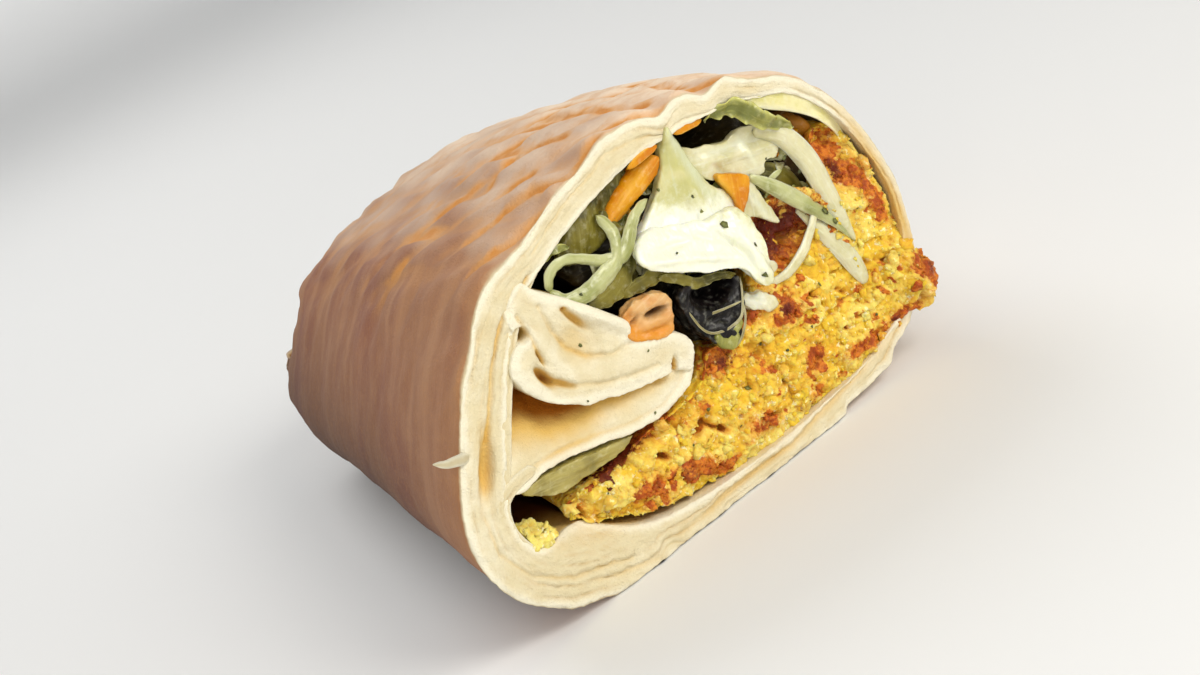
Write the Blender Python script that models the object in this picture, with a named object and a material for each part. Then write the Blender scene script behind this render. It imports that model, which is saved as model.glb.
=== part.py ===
"""Half of a falafel wrap, cut on the slant and lying on its flat underside.

The rolled tortilla is one sheet: a wall of one to three layers, a folded tongue inside the fold side,
and a tucked, closed far end. Falafel, salad and the larger pieces of salad fill it.

Frame: +Z up, +Y from the cut face towards the tucked end, +X towards the falafel side.
The origin is under the middle of the wrap, on the surface it lies on.
"""

import math

import bmesh
import bpy
from mathutils import Vector, noise

MM = 0.001

# Driving dimensions, in millimetres.
SECTION_LOW = -23.2       # height of the underside in the section's own coordinates
SECTION_HIGH = 30.0       # height of the top of the cut face in the same coordinates
SECTION_SHIFT = 1.4       # moves the section sideways, so that the wrap is centred on X
LENGTH = 109.5            # from the middle of the cut face to the tucked end
CUT_SLANT = math.radians(12.0)   # the knife's angle to a square cut
CUT_MIDDLE_Y = -50.1      # where the middle of the cut face lies
NARROWING = 0.06          # share of its width that the wrap loses towards the tucked end
FLATTENING = 0.23         # share of its height that it loses
FLATTENING_CURVE = 1.6    # exponent of that loss along the length
SIDE_LIFT = 3.0           # how far the folded side's lower edge lifts behind the cut
SIDE_TUCK = 0.04          # share of its distance from the middle that this edge moves in
END_STARTS = 0.70         # share of the length where the tucked end starts to close
END_SQUARENESS = 3.8      # exponent of the end's rounding: 2 is round, more is squarer
END_HEIGHT = 0.54         # height of the tucked edge, as a share of the height there
END_WIDTH = 0.86          # width of the tucked edge, as a share of the width there
END_EDGE = 0.08           # thickness of the tucked edge, as a share of the height there
SHEET = 2.1               # one layer of tortilla
HOLLOW_ENDS = 0.93        # share of the length that the space for the filling reaches
FILLING_ENDS = 0.90       # share of the length that the filling itself reaches
HEAP_DEPTH = 7.0          # how far the loose salad stands back from the cut face
# Shares of the length where the body's sections lie, closer together where the end closes.
STATIONS = (0.0, 0.10, 0.20, 0.30, 0.42, 0.56, 0.70, 0.79, 0.86, 0.91, 0.95, 0.975, 0.99, 0.997, 1.0)

# The wall's outer line on the cut face: across, up, and the wall's thickness there in layers.
WALL = [
    (-24.0, -24.0, 3.0), (0.0, -24.5, 2.1), (24.0, -21.8, 1.5), (36.2, -16.0, 1.0), (41.3, -3.0, 0.8),
    (39.5, 12.0, 0.9), (31.0, 24.0, 1.15), (15.0, 29.4, 1.7), (0.0, 30.0, 2.0), (-16.0, 26.2, 2.1),
    (-27.8, 21.8, 2.8), (-37.6, 9.8, 3.2), (-44.1, -4.0, 3.3), (-42.3, -14.0, 3.3), (-35.0, -20.6, 3.3),
]
# The folded tongue: its free outline, then its root inside the wall.
TONGUE = [
    (-37.5, -3.8), (-33.0, -2.9), (-24.0, -3.8), (-16.0, -5.6), (-9.5, -6.2), (-4.0, -4.4), (-1.6, -0.6),
    (-2.8, 3.0), (-6.2, 4.3), (-9.6, 7.2), (-11.5, 10.8), (-15.8, 15.6), (-18.4, 20.2), (-23.0, 21.0),
    (-31.0, 14.6), (-37.4, 5.0), (-39.6, -1.6),
]
# Air between the folds of the tongue.
FOLD_GAP_LARGE = [
    (-34.0, 0.9), (-27.0, 0.1), (-19.0, -1.2), (-11.0, -2.5), (-7.4, -2.0), (-12.0, -0.3), (-19.0, 1.6),
    (-24.6, 4.8), (-27.0, 8.0), (-28.8, 10.4), (-31.4, 5.8),
]
FOLD_GAP_SMALL = [(-23.4, 11.2), (-25.0, 8.9), (-22.8, 6.2), (-20.4, 5.0), (-22.4, 8.2)]

FALAFEL = [
    (-29.0, -9.6), (-26.4, -13.4), (-18.0, -16.2), (-8.0, -18.4), (2.0, -19.4), (14.0, -19.2),
    (26.0, -17.9), (33.4, -14.4), (37.6, -8.2), (38.8, -1.0), (37.8, 7.0), (35.0, 13.2), (31.6, 13.0),
    (31.4, 6.0), (30.4, -0.6), (24.0, -1.4), (14.0, -1.2), (9.0, -2.6), (5.0, -5.0), (0.4, -4.0),
    (-5.0, -6.6), (-11.0, -7.2), (-18.0, -8.6), (-24.0, -8.6),
]
SALAD = [
    (-15.8, 19.8), (-12.8, 16.2), (-10.0, 11.6), (-8.2, 8.2), (-5.2, 5.6), (-1.0, 4.0), (0.4, -1.6),
    (5.0, -4.0), (9.0, -1.6), (14.0, -0.2), (24.0, -0.4), (29.6, 0.4), (30.6, 6.0), (30.8, 13.4),
    (33.6, 15.4), (27.0, 20.6), (18.0, 23.6), (8.0, 24.6), (-2.0, 24.0), (-11.0, 21.4),
]

# Pieces of salad that lie at the cut face, in front of the loose heap: outline, then nearest and
# farthest distance behind the cut.
CABBAGE_SLICE = [
    (8.4, 25.0), (10.4, 20.0), (13.0, 13.0), (13.4, 6.0), (12.0, 1.8), (9.6, 3.8), (5.0, 8.0),
    (0.0, 10.0), (-3.2, 14.6), (3.0, 18.4), (6.6, 21.6),
]
CABBAGE_RIBBON = [
    (11.4, 22.6), (19.0, 20.4), (25.6, 17.8), (29.0, 13.4), (30.4, 6.0), (30.4, 0.6), (28.2, 2.6),
    (26.8, 8.0), (24.6, 12.6), (19.0, 14.8), (13.6, 17.6),
]
DARK_LEAF = [(-0.9, 5.6), (2.4, 6.8), (8.6, 3.4), (7.6, -0.4), (4.0, -3.4), (0.8, -1.2)]
CARROT_UPPER = [(-5.0, 20.4), (0.0, 24.0), (5.0, 24.6), (5.4, 22.4), (1.0, 20.4)]
CARROT_MIDDLE = [(14.2, 15.6), (18.2, 14.2), (16.6, 11.4), (14.4, 10.4)]
CARROT_LOWER = [(-9.0, 8.4), (-6.6, 9.8), (-3.0, 8.6), (-2.3, 5.2), (-5.2, 4.8), (-8.0, 6.6)]
LETTUCE_TOP = [
    (16.0, 25.1), (22.0, 24.0), (29.0, 20.4), (34.4, 15.4), (31.6, 15.4), (26.0, 19.8), (21.0, 21.8),
    (16.6, 23.6),
]
LETTUCE_LEFT = [
    (-15.6, 19.6), (-12.0, 20.8), (-6.4, 22.2), (-6.0, 19.6), (-4.4, 16.6), (-4.6, 12.6), (-9.6, 11.8),
    (-12.8, 16.8),
]
LETTUCE_UNDER = [(-32.8, -4.0), (-26.0, -4.4), (-19.0, -5.8), (-16.6, -6.6), (-21.0, -7.7), (-28.0, -7.2)]
CRUMB = [(-36.6, -7.0), (-33.6, -6.8), (-32.2, -9.4), (-33.6, -11.4), (-35.8, -9.8)]


def smooth_loop(points, count):
    """The closed smooth curve through the points, as count points equally far apart."""
    fine = []
    size = len(points)
    for i in range(size):
        before, start, end, after = (points[(i + k) % size] for k in (-1, 0, 1, 2))
        for step in range(12):
            t = step / 12
            fine.append([
                0.5 * (2 * b + (c - a) * t + (2 * a - 5 * b + 4 * c - d) * t * t
                       + (3 * b - a - 3 * c + d) * t ** 3)
                for a, b, c, d in zip(before, start, end, after)
            ])
    walked = [0.0]
    for i in range(len(fine)):
        here, there = fine[i], fine[(i + 1) % len(fine)]
        walked.append(walked[-1] + math.hypot(there[0] - here[0], there[1] - here[1]))
    loop, i = [], 0
    for k in range(count):
        target = walked[-1] * k / count
        while walked[i + 1] < target:
            i += 1
        t = (target - walked[i]) / (walked[i + 1] - walked[i])
        here, there = fine[i], fine[(i + 1) % len(fine)]
        loop.append([a + (b - a) * t for a, b in zip(here, there)])
    return loop


def inner_line(loop):
    """The wall's inner line: the outer one moved in by its number of layers."""
    size = len(loop)
    inside = []
    for i in range(size):
        (u0, v0, _), (u, v, layers), (u1, v1, _) = (loop[(i + k) % size] for k in (-1, 0, 1))
        run = math.hypot(u1 - u0, v1 - v0)
        wall = layers * SHEET
        inside.append((u - (v1 - v0) / run * wall, v + (u1 - u0) / run * wall))
    return inside


def place(u, v, share):
    """A point of the cut section, carried back by a share of the wrap's length."""
    u += SECTION_SHIFT
    closing = max(0.0, (share - END_STARTS) / (1.0 - END_STARTS))
    round_off = max(END_EDGE, max(0.0, 1.0 - closing ** END_SQUARENESS) ** (1.0 / END_SQUARENESS))
    behind = max(share, 0.0)
    width = (1.0 - NARROWING * behind ** 2) * (END_WIDTH + (1.0 - END_WIDTH) * round_off)
    height = 1.0 - FLATTENING * behind ** FLATTENING_CURVE
    edge = END_HEIGHT * height * (SECTION_HIGH - SECTION_LOW)
    up = height * max(0.0, v - SECTION_LOW)
    low_side = max(0.0, (-u - 20.0) / 24.0) * max(0.0, 1.0 - up / 22.0) * min(1.0, 2.4 * behind)
    up += SIDE_LIFT * low_side
    u *= 1.0 - SIDE_TUCK * low_side
    cut_y = u * math.sin(CUT_SLANT)
    end_y = LENGTH - 0.0022 * u * u
    return Vector((
        u * math.cos(CUT_SLANT) * width,
        CUT_MIDDLE_Y + cut_y + share * (end_y - cut_y),
        edge + (up - edge) * round_off,
    )) * MM


def share_at(depth):
    """The share of the length that lies depth millimetres behind the cut."""
    return depth / LENGTH


def new_object(name, bm, colour, roughness):
    """A finished mesh object with its own material."""
    bmesh.ops.recalc_face_normals(bm, faces=bm.faces)
    mesh = bpy.data.meshes.new(name)
    bm.to_mesh(mesh)
    bm.free()
    made = bpy.data.objects.new(name, mesh)
    bpy.context.scene.collection.objects.link(made)
    if colour:
        material = bpy.data.materials.new(name)
        material.use_nodes = True
        shader = material.node_tree.nodes["Principled BSDF"]
        shader.inputs["Base Color"].default_value = (*colour, 1.0)
        shader.inputs["Roughness"].default_value = roughness
        mesh.materials.append(material)
    return made


def loft(loop, shares):
    """A closed body whose sections are the loop, carried back to each share of the length."""
    bm = bmesh.new()
    rings = [[bm.verts.new(place(u, v, share)) for u, v, *_ in loop] for share in shares]
    for near, far in zip(rings, rings[1:]):
        for i in range(len(loop)):
            j = (i + 1) % len(loop)
            bm.faces.new((near[i], near[j], far[j], far[i]))
    bm.faces.new(rings[0][::-1])
    bm.faces.new(rings[-1])
    return bm


def stations(start, end):
    """The body's stations from start to end, and the two ends themselves."""
    return [start] + [share for share in STATIONS if start < share < end] + [end]


def cutter(name, loop, shares):
    """A body that only cuts, and isn't part of the wrap."""
    made = new_object(name, loft(loop, shares), None, None)
    made.hide_render = True
    made.display_type = "WIRE"
    return made


def combine(target, tool, operation):
    """Adds an exact Boolean to the target."""
    boolean = target.modifiers.new(tool.name, "BOOLEAN")
    boolean.operation = operation
    boolean.solver = "EXACT"
    boolean.object = tool


def make_tortilla():
    """The rolled sheet: the wall with its closed end, the tongue, and the air between its folds."""
    outer = smooth_loop(WALL, 72)
    tortilla = new_object("tortilla", loft(outer, STATIONS), (0.80, 0.66, 0.45), 0.62)
    hollow = cutter("cut_hollow", inner_line(outer), stations(-0.05, HOLLOW_ENDS))
    tongue = cutter("add_tongue", smooth_loop(TONGUE, 40), stations(-0.0001, 0.94))
    combine(tortilla, hollow, "DIFFERENCE")
    combine(tortilla, tongue, "UNION")
    for name, gap, count in (("cut_gap_large", FOLD_GAP_LARGE, 28), ("cut_gap_small", FOLD_GAP_SMALL, 12)):
        combine(tortilla, cutter(name, smooth_loop(gap, count), stations(-0.05, 0.88)), "DIFFERENCE")


def rough_front(bm, spacing, depth, lump, seed, bulge=None):
    """Divides the front of a filling into small patches and makes it uneven."""
    for axis in (Vector((1, 0, 0)), Vector((0, 0, 1))):
        spots = [vert.co.dot(axis) for vert in bm.verts]
        steps = int((max(spots) - min(spots)) / (spacing * MM))
        for i in range(1, steps + 1):
            point = axis * (min(spots) + i * spacing * MM)
            geometry = bm.verts[:] + bm.edges[:] + bm.faces[:]
            bmesh.ops.bisect_plane(bm, geom=geometry, plane_co=point, plane_no=axis, dist=1e-6)
    front = {vert for face in bm.faces if face.normal.y < -0.8 for vert in face.verts}
    border = {vert for face in bm.faces if face.normal.y > -0.8 for vert in face.verts}
    for vert in front:
        wave = noise.noise(vert.co / (lump * MM) + Vector((seed, seed, seed)))
        fade = 0.35 if vert in border else 1.0
        vert.co.y += depth * MM * wave * fade
        if bulge:
            across, up, reach, size = bulge
            away = math.hypot(vert.co.x / MM - across, vert.co.z / MM - up) / reach
            vert.co.y -= size * MM * math.exp(-away * away) * fade
    bmesh.ops.triangulate(bm, faces=bm.faces)


def make_falafel():
    """The crushed falafel: a layer along the underside that turns up at the far side."""
    bm = loft(smooth_loop(FALAFEL, 64), stations(0.002, FILLING_ENDS))
    bm.normal_update()
    rough_front(bm, 4.2, 2.6, 5.0, 3.1, bulge=(35.0, 10.5, 8.0, 3.0))
    new_object("falafel", bm, (0.66, 0.42, 0.08), 0.85)


def make_salad():
    """The heap of shredded cabbage and lettuce, out to its uneven front."""
    bm = loft(smooth_loop(SALAD, 48), stations(share_at(HEAP_DEPTH), FILLING_ENDS - 0.02))
    bm.normal_update()
    rough_front(bm, 4.6, 2.2, 5.0, 7.7)
    new_object("salad", bm, (0.62, 0.66, 0.34), 0.45)


def make_piece(name, outline, near, far, colour, roughness, count=20, domed=0.0):
    """A larger piece of salad between two distances behind the cut, with a softly domed front."""
    loop = smooth_loop(outline, count)
    middle = [sum(point[k] for point in loop) / count for k in (0, 1)]
    bm = loft(loop, stations(share_at(near), share_at(far)))
    bm.normal_update()
    front = [face for face in bm.faces if face.normal.y < -0.8 and len(face.verts) > 4]
    bmesh.ops.delete(bm, geom=front, context="FACES_ONLY")
    bm.verts.ensure_lookup_table()
    rim = bm.verts[:count]
    peak = bm.verts.new(place(middle[0], middle[1], share_at(near - domed)))
    for i in range(count):
        bm.faces.new((rim[i], peak, rim[(i + 1) % count]))
    new_object(name, bm, colour, roughness)


def make_pieces():
    """The larger pieces at the cut face, and the crumb on the sheet."""
    pale, green, orange = (0.78, 0.80, 0.52), (0.45, 0.52, 0.16), (0.85, 0.36, 0.05)
    nearest, farthest = 0.4, HEAP_DEPTH - 1.9
    make_piece("cabbage_slice", CABBAGE_SLICE, nearest, farthest, pale, 0.35, domed=1.0)
    make_piece("cabbage_ribbon", CABBAGE_RIBBON, nearest, farthest, pale, 0.4, count=24)
    make_piece("dark_leaf", DARK_LEAF, nearest, farthest, (0.04, 0.02, 0.03), 0.3, domed=0.8)
    make_piece("carrot_upper", CARROT_UPPER, nearest + 1.0, farthest, orange, 0.4, count=14)
    make_piece("carrot_middle", CARROT_MIDDLE, nearest, farthest, orange, 0.4, count=12)
    make_piece("carrot_lower", CARROT_LOWER, nearest, farthest, orange, 0.4, count=14, domed=0.6)
    make_piece("lettuce_top", LETTUCE_TOP, nearest, farthest, green, 0.4, count=20)
    make_piece("lettuce_left", LETTUCE_LEFT, nearest + 1.0, farthest, green, 0.4, count=20)
    make_piece("lettuce_under", LETTUCE_UNDER, 1.0, 24.0, green, 0.4, count=16)
    make_piece("falafel_crumb", CRUMB, 0.2, 5.0, (0.78, 0.60, 0.16), 0.85, count=12, domed=1.2)


def main():
    for old in list(bpy.data.objects):
        bpy.data.objects.remove(old)
    make_tortilla()
    make_falafel()
    make_salad()
    make_pieces()


main()
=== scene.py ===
import math

import bpy
import numpy as np
from mathutils import Matrix, Vector, noise
from mathutils.bvhtree import BVHTree


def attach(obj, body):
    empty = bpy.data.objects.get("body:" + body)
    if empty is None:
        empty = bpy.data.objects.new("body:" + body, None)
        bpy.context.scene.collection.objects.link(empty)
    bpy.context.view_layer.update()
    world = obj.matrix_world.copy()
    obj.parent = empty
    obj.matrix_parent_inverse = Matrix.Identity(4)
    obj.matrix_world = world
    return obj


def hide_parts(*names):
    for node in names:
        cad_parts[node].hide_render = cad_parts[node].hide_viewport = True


# half of a falafel wrap, cut on the slant; lengths are in mm and turns in degrees, unless a note says otherwise
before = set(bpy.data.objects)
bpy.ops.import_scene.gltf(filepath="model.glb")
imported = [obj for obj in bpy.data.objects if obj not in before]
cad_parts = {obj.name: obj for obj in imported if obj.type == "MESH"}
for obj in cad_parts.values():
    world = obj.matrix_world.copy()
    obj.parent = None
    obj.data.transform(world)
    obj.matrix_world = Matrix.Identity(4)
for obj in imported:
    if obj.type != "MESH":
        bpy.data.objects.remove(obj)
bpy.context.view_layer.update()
mm = 0.001

# the wrap's form, round section coordinates: u runs across the cut, and v up it
wrapShape = {
    "low": -23.2,              # the side that lies on the table
    "high": 30.0,
    "shift": 1.4,              # how far the section moves across, to stand over the middle
    "length": 109.5,
    "slant": math.radians(12.0),   # the knife's angle to a square cut
    "cutY": -50.1,             # where the middle of the cut lies
    "narrowing": 0.06,         # share of the width lost toward the tucked end
    "flattening": 0.23,        # share of the height lost
    "flatteningCurve": 1.6,
    "lowFrom": 20.0,           # how far across the folded side's low edge starts, and its reach across and up
    "lowReach": (24.0, 22.0),
    "sideLift": 3.0,           # how far that edge lifts, and the share that it moves in
    "sideTuck": 0.04,
    "endStarts": 0.70,         # share of the length where the end starts to close
    "endSquareness": 3.8,      # 2 is a round end, more is squarer
    "endHeight": 0.54,         # the tucked edge's height, width and thickness, as shares of the size there
    "endWidth": 0.86,
    "endEdge": 0.08,
    "endBow": 0.0022,
}


def placeOnWrap(u, v, share, pinch=1.0):
    # section coordinates and a share of the length, to metres; all may be arrays
    w = wrapShape
    u = np.asarray(u, float) + w["shift"]
    share = np.asarray(share, float)
    closing = np.maximum(0.0, (share - w["endStarts"]) / (1.0 - w["endStarts"]))
    roundOff = np.maximum(0.0, 1.0 - closing ** w["endSquareness"]) ** (1.0 / w["endSquareness"])
    roundOff = np.maximum(w["endEdge"], roundOff) * pinch
    behind = np.maximum(share, 0.0)
    width = (1.0 - w["narrowing"] * behind ** 2) * (w["endWidth"] + (1.0 - w["endWidth"]) * roundOff)
    height = 1.0 - w["flattening"] * behind ** w["flatteningCurve"]
    edge = w["endHeight"] * height * (w["high"] - w["low"])
    up = height * np.maximum(0.0, v - w["low"])
    lowSide = np.maximum(0.0, (-u - w["lowFrom"]) / w["lowReach"][0]) * np.maximum(0.0, 1.0 - up / w["lowReach"][1])
    lowSide = lowSide * np.minimum(1.0, 2.4 * behind)
    up = up + w["sideLift"] * lowSide
    u = u * (1.0 - w["sideTuck"] * lowSide)
    cutY = u * math.sin(w["slant"])
    endY = w["length"] - w["endBow"] * u * u
    x = u * math.cos(w["slant"]) * width
    y = w["cutY"] + cutY + share * (endY - cutY)
    z = edge + (up - edge) * roundOff
    x, y, z = np.broadcast_arrays(x, y, z)
    return np.stack([x, y, z], axis=-1) * mm


def paint(red, green, blue):
    # a screen colour, as the linear colour that a material takes
    return tuple((c / 255.0 / 12.92) if c <= 10 else ((c / 255.0 + 0.055) / 1.055) ** 2.4 for c in (red, green, blue))


def smoothPath(points, count, closed=False):
    # the smooth curve through the points, as count + 1 points at equal steps
    size = len(points)
    fine = []
    for i in range(size if closed else size - 1):
        near = [points[(i + k) % size] if closed else points[min(max(i + k, 0), size - 1)] for k in (-1, 0, 1, 2)]
        before, start, end, after = (np.array(p, float) for p in near)
        for step in range(16):
            t = step / 16
            fine.append(0.5 * (2 * start + (end - before) * t + (2 * before - 5 * start + 4 * end - after) * t * t
                               + (3 * start - before - 3 * end + after) * t ** 3))
    fine.append(fine[0] if closed else np.array(points[-1], float))
    fine = np.array(fine)
    walked = np.concatenate([[0.0], np.cumsum(np.hypot(*np.diff(fine[:, :2], axis=0).T))])
    even = np.linspace(0.0, walked[-1], count + 1)
    return np.stack([np.interp(even, walked, fine[:, k]) for k in range(fine.shape[1])], axis=1), walked[-1]


def sideways(path, closed=False):
    # the unit direction to the right of the path at each point
    ahead, back = np.roll(path, -1, axis=0), np.roll(path, 1, axis=0)
    if closed:
        ahead[-1], back[0] = path[1], path[-2]
    else:
        ahead[-1], back[0] = path[-1], path[0]
    along = (ahead - back)[:, :2]
    along /= np.maximum(1e-9, np.hypot(along[:, 0], along[:, 1]))[:, None]
    return np.stack([along[:, 1], -along[:, 0]], axis=1)


def noiseAt(points, size, seed=0.0, octaves=1):
    # smooth noise at points in mm, about -1 to 1
    shift = Vector((seed * 3.7, seed * 1.9, seed * 5.3))
    if octaves == 1:
        return np.array([noise.noise(Vector(p) / size + shift) for p in points])
    return np.array([noise.fractal(Vector(p) / size + shift, 0.9, 2.1, octaves) for p in points])


def flatSpots(u, v, third=0.0):
    # spots for noiseAt, from two arrays and one number
    return np.stack([u, v, np.full(len(u), third)], axis=1)


def smoothStep(value, low, high):
    t = np.clip((value - low) / (high - low), 0.0, 1.0)
    return t * t * (3.0 - 2.0 * t)


def bumpsAt(u, v, bumps):
    # soft bumps added up; each is across, up, half width, half height, turn, amount, and if given how sharp
    # its edge is
    total = np.zeros(len(u))
    for middleU, middleV, wide, tall, turn, amount, *sharp in bumps:
        turn = math.radians(turn)
        a = ((u - middleU) * math.cos(turn) + (v - middleV) * math.sin(turn)) / wide
        b = (-(u - middleU) * math.sin(turn) + (v - middleV) * math.cos(turn)) / tall
        total += amount * np.exp(-(a * a + b * b) ** (sharp[0] if sharp else 1.0))
    return total


def nearLine(u, v, line):
    # each spot's distance from a line of points, and how far along the line its nearest place is
    best, along, walked = np.full(len(u), 1.0e9), np.zeros(len(u)), 0.0
    for (a, b), (c, d) in zip(line, line[1:]):
        long = math.hypot(c - a, d - b)
        t = np.clip(((u - a) * (c - a) + (v - b) * (d - b)) / long ** 2, 0.0, 1.0)
        away = np.hypot(u - a - t * (c - a), v - b - t * (d - b))
        along = np.where(away < best, walked + t * long, along)
        best = np.minimum(best, away)
        walked += long
    return best, along


def readVectors(items, key):
    flat = np.empty(len(items) * 3)
    items.foreach_get(key, flat)
    return flat.reshape(-1, 3)


def getPoints(made):
    return readVectors(made.data.vertices, "co")


def getNormals(made):
    return readVectors(made.data.vertex_normals, "vector")


def setPoints(made, points):
    made.data.vertices.foreach_set("co", np.ascontiguousarray(points, dtype=np.float32).ravel())
    made.data.update()


def setMask(made, name, values):
    mask = made.data.attributes.new(name, "FLOAT", "POINT")
    mask.data.foreach_set("value", np.ascontiguousarray(values, dtype=np.float32))


def newGrid(name, columns, rows):
    # a grid primitive, and each vertex's column and row
    bpy.ops.object.select_all(action="DESELECT")
    bpy.ops.mesh.primitive_grid_add(x_subdivisions=columns, y_subdivisions=rows, size=2.0)
    made = bpy.context.object
    made.name = made.data.name = name
    flat = getPoints(made)
    column = np.rint((flat[:, 0] + 1.0) / 2.0 * columns).astype(int)
    row = np.rint((flat[:, 1] + 1.0) / 2.0 * rows).astype(int)
    return made, column, row


def editWhole(made, *steps):
    # runs edit-mode operators on all of a mesh
    bpy.ops.object.select_all(action="DESELECT")
    bpy.context.view_layer.objects.active = made
    made.select_set(True)
    bpy.ops.object.mode_set(mode="EDIT")
    bpy.ops.mesh.select_all(action="SELECT")
    for step in steps:
        step()
    bpy.ops.object.mode_set(mode="OBJECT")


def faceOut():
    bpy.ops.mesh.normals_make_consistent(inside=False)


def weld(made):
    editWhole(made, lambda: bpy.ops.mesh.remove_doubles(threshold=0.02 * mm), faceOut)


def finishPiece(made, material, slot, *nodes, smooth=True):
    made.data.materials.clear()
    made.data.materials.append(material)
    made.data.polygons.foreach_set("use_smooth", [smooth] * len(made.data.polygons))
    made.data.update()
    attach(made, "root")
    if nodes:
        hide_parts(*nodes)
    return made


# depth past "from" is shortened while a solid is meshed, because nobody sees so far in
squeeze = {"from": 9.0, "by": 0.07}


def evenSolid(name, outline, near, far, voxel, smooth=0):
    # a solid with the outline's shape between two depths, meshed evenly, in section mm
    def short(depth):
        return depth if depth < squeeze["from"] else squeeze["from"] + (depth - squeeze["from"]) * squeeze["by"]
    corners = 160
    bpy.ops.object.select_all(action="DESELECT")
    bpy.ops.mesh.primitive_circle_add(vertices=corners, radius=1.0, fill_type="NGON")
    made = bpy.context.object
    made.name = made.data.name = name
    ring = smoothPath(outline, corners, closed=True)[0]
    setPoints(made, np.column_stack([ring[:-1], np.full(corners, short(near))]))
    editWhole(made, lambda: bpy.ops.mesh.extrude_region_move(
        TRANSFORM_OT_translate={"value": (0.0, 0.0, short(far) - short(near))}))
    editWhole(made, faceOut)
    mesher = made.modifiers.new("evenMesh", "REMESH")
    mesher.mode = "VOXEL"
    mesher.voxel_size = voxel
    bpy.ops.object.modifier_apply(modifier=mesher.name)
    if smooth:
        softer = made.modifiers.new("softEdges", "SMOOTH")
        softer.iterations = smooth
        bpy.ops.object.modifier_apply(modifier=softer.name)
    return made


def unsqueezed(depth):
    return np.where(depth < squeeze["from"], depth, squeeze["from"] + (depth - squeeze["from"]) / squeeze["by"])


def placeSolid(made, spots):
    setPoints(made, placeOnWrap(spots[:, 0], spots[:, 1], spots[:, 2] / wrapShape["length"]))
    editWhole(made, faceOut)


def makeStrip(name, material, slot, line, thick=0.9, cup=0.0, ruffle=0.0, ruffles=5.0, edgeWidth=0.25, seed=1.0,
              nodes=(), rows=20, spacing=0.4, wave=0.22, taper=1.2):
    # a long piece: line is (across, up, depth, width, turn), and turn 0 shows its face and 90 its edge;
    # cup curls it along its length, ruffle waves its edges (ruffles in 10 mm), and taper is how far its ends narrow
    spanned = sum(math.dist(a[:3], b[:3]) for a, b in zip(line, line[1:]))
    count = max(12, int(spanned / spacing))
    path, length = smoothPath(line, count)
    along = np.gradient(path[:, :3], axis=0)
    along /= np.linalg.norm(along, axis=1)[:, None]
    flatSide = np.cross(along, np.array([0.0, 0.0, 1.0]))
    flatSide /= np.maximum(1e-6, np.linalg.norm(flatSide, axis=1))[:, None]
    deepSide = np.cross(flatSide, along)
    turn = np.radians(path[:, 4])[:, None]
    wide = np.cos(turn) * flatSide + np.sin(turn) * deepSide
    high = np.cross(wide, along)
    made, column, row = newGrid(name, count, rows)
    angle = row / rows * 2.0 * math.pi
    reach = np.minimum(column, count - column) * spanned / count
    narrow = np.sqrt(np.clip(reach / taper, 0.0, 1.0))
    half = path[column, 3] / 2.0
    side = np.sign(np.cos(angle)) * np.abs(np.cos(angle)) ** 0.8
    across = side * half * narrow
    walked = column / count * length
    lift = np.sign(np.sin(angle)) * np.abs(np.sin(angle)) ** 0.5 * thick * 0.4 * np.minimum(1.0, narrow * 1.3)
    waves = np.sin(walked * ruffles * 2.0 * math.pi / 10.0 + seed)
    lift = lift + cup * side ** 2 * half + ruffle * side * np.abs(side) * waves
    spots = path[column, :3] + wide[column] * across[:, None] + high[column] * lift[:, None]
    fibre = noiseAt(flatSpots(walked * 0.12, side * half * 1.5, seed), 1.0, seed)
    spots = spots + high[column] * ((wave * noiseAt(spots, 2.6, seed, 2) + 0.13 * fibre) * narrow)[:, None]
    setPoints(made, placeOnWrap(spots[:, 0], spots[:, 1], spots[:, 2] / wrapShape["length"]))
    setMask(made, "edge", smoothStep(np.abs(side), 1.0 - edgeWidth, 1.0))
    setMask(made, "stainAndShade", np.zeros(len(side)))
    setMask(made, "fibreAlong", walked)
    setMask(made, "fibreAcross", side * half)
    weld(made)
    return finishPiece(made, material, slot, *nodes)


def newMaterial(name, finish):
    # finish: the shader's plain settings
    material = bpy.data.materials.new(name)
    material.use_nodes = True
    tree = material.node_tree
    tree.nodes.clear()
    out = tree.nodes.new("ShaderNodeOutputMaterial")
    shader = tree.nodes.new("ShaderNodeBsdfPrincipled")
    tree.links.new(shader.outputs["BSDF"], out.inputs["Surface"])
    for key, value in finish.items():
        shader.inputs[key].default_value = value
    return material, tree, shader


def addNode(tree, kind, inputs=None, **settings):
    # a node and its settings; each input is another node's output, or a plain value
    node = tree.nodes.new(kind)
    for key, value in settings.items():
        setattr(node, key, value)
    for key, value in (inputs or {}).items():
        if isinstance(value, bpy.types.NodeSocket):
            tree.links.new(value, node.inputs[key])
        else:
            node.inputs[key].default_value = value
    return node


def mixColours(tree, amount, first, second):
    first, second = (c if isinstance(c, bpy.types.NodeSocket) else (*c, 1.0) for c in (first, second))
    return addNode(tree, "ShaderNodeMix", {0: amount, 6: first, 7: second}, data_type="RGBA").outputs[2]


def paintOver(tree, colour, *coats):
    # a colour with coats over it: each is where it lies, as a mask, and its own colour
    for amount, coat in coats:
        colour = mixColours(tree, amount, colour, coat)
    return colour


def reckon(tree, operation, *values, clamp=False):
    return addNode(tree, "ShaderNodeMath", dict(enumerate(values)), operation=operation, use_clamp=clamp).outputs[0]


def times(tree, *values, clamp=False):
    return reckon(tree, "MULTIPLY", *values, clamp=clamp)


def plus(tree, *values):
    return reckon(tree, "ADD", *values)


def swing(tree, value, amount=1.0):
    # a noise's swing about its middle
    return times(tree, reckon(tree, "SUBTRACT", value, 0.5), amount)


def ramp(tree, value, low, high):
    return addNode(tree, "ShaderNodeMapRange", {"Value": value, "From Min": low, "From Max": high},
                   interpolation_type="SMOOTHSTEP").outputs[0]


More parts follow.
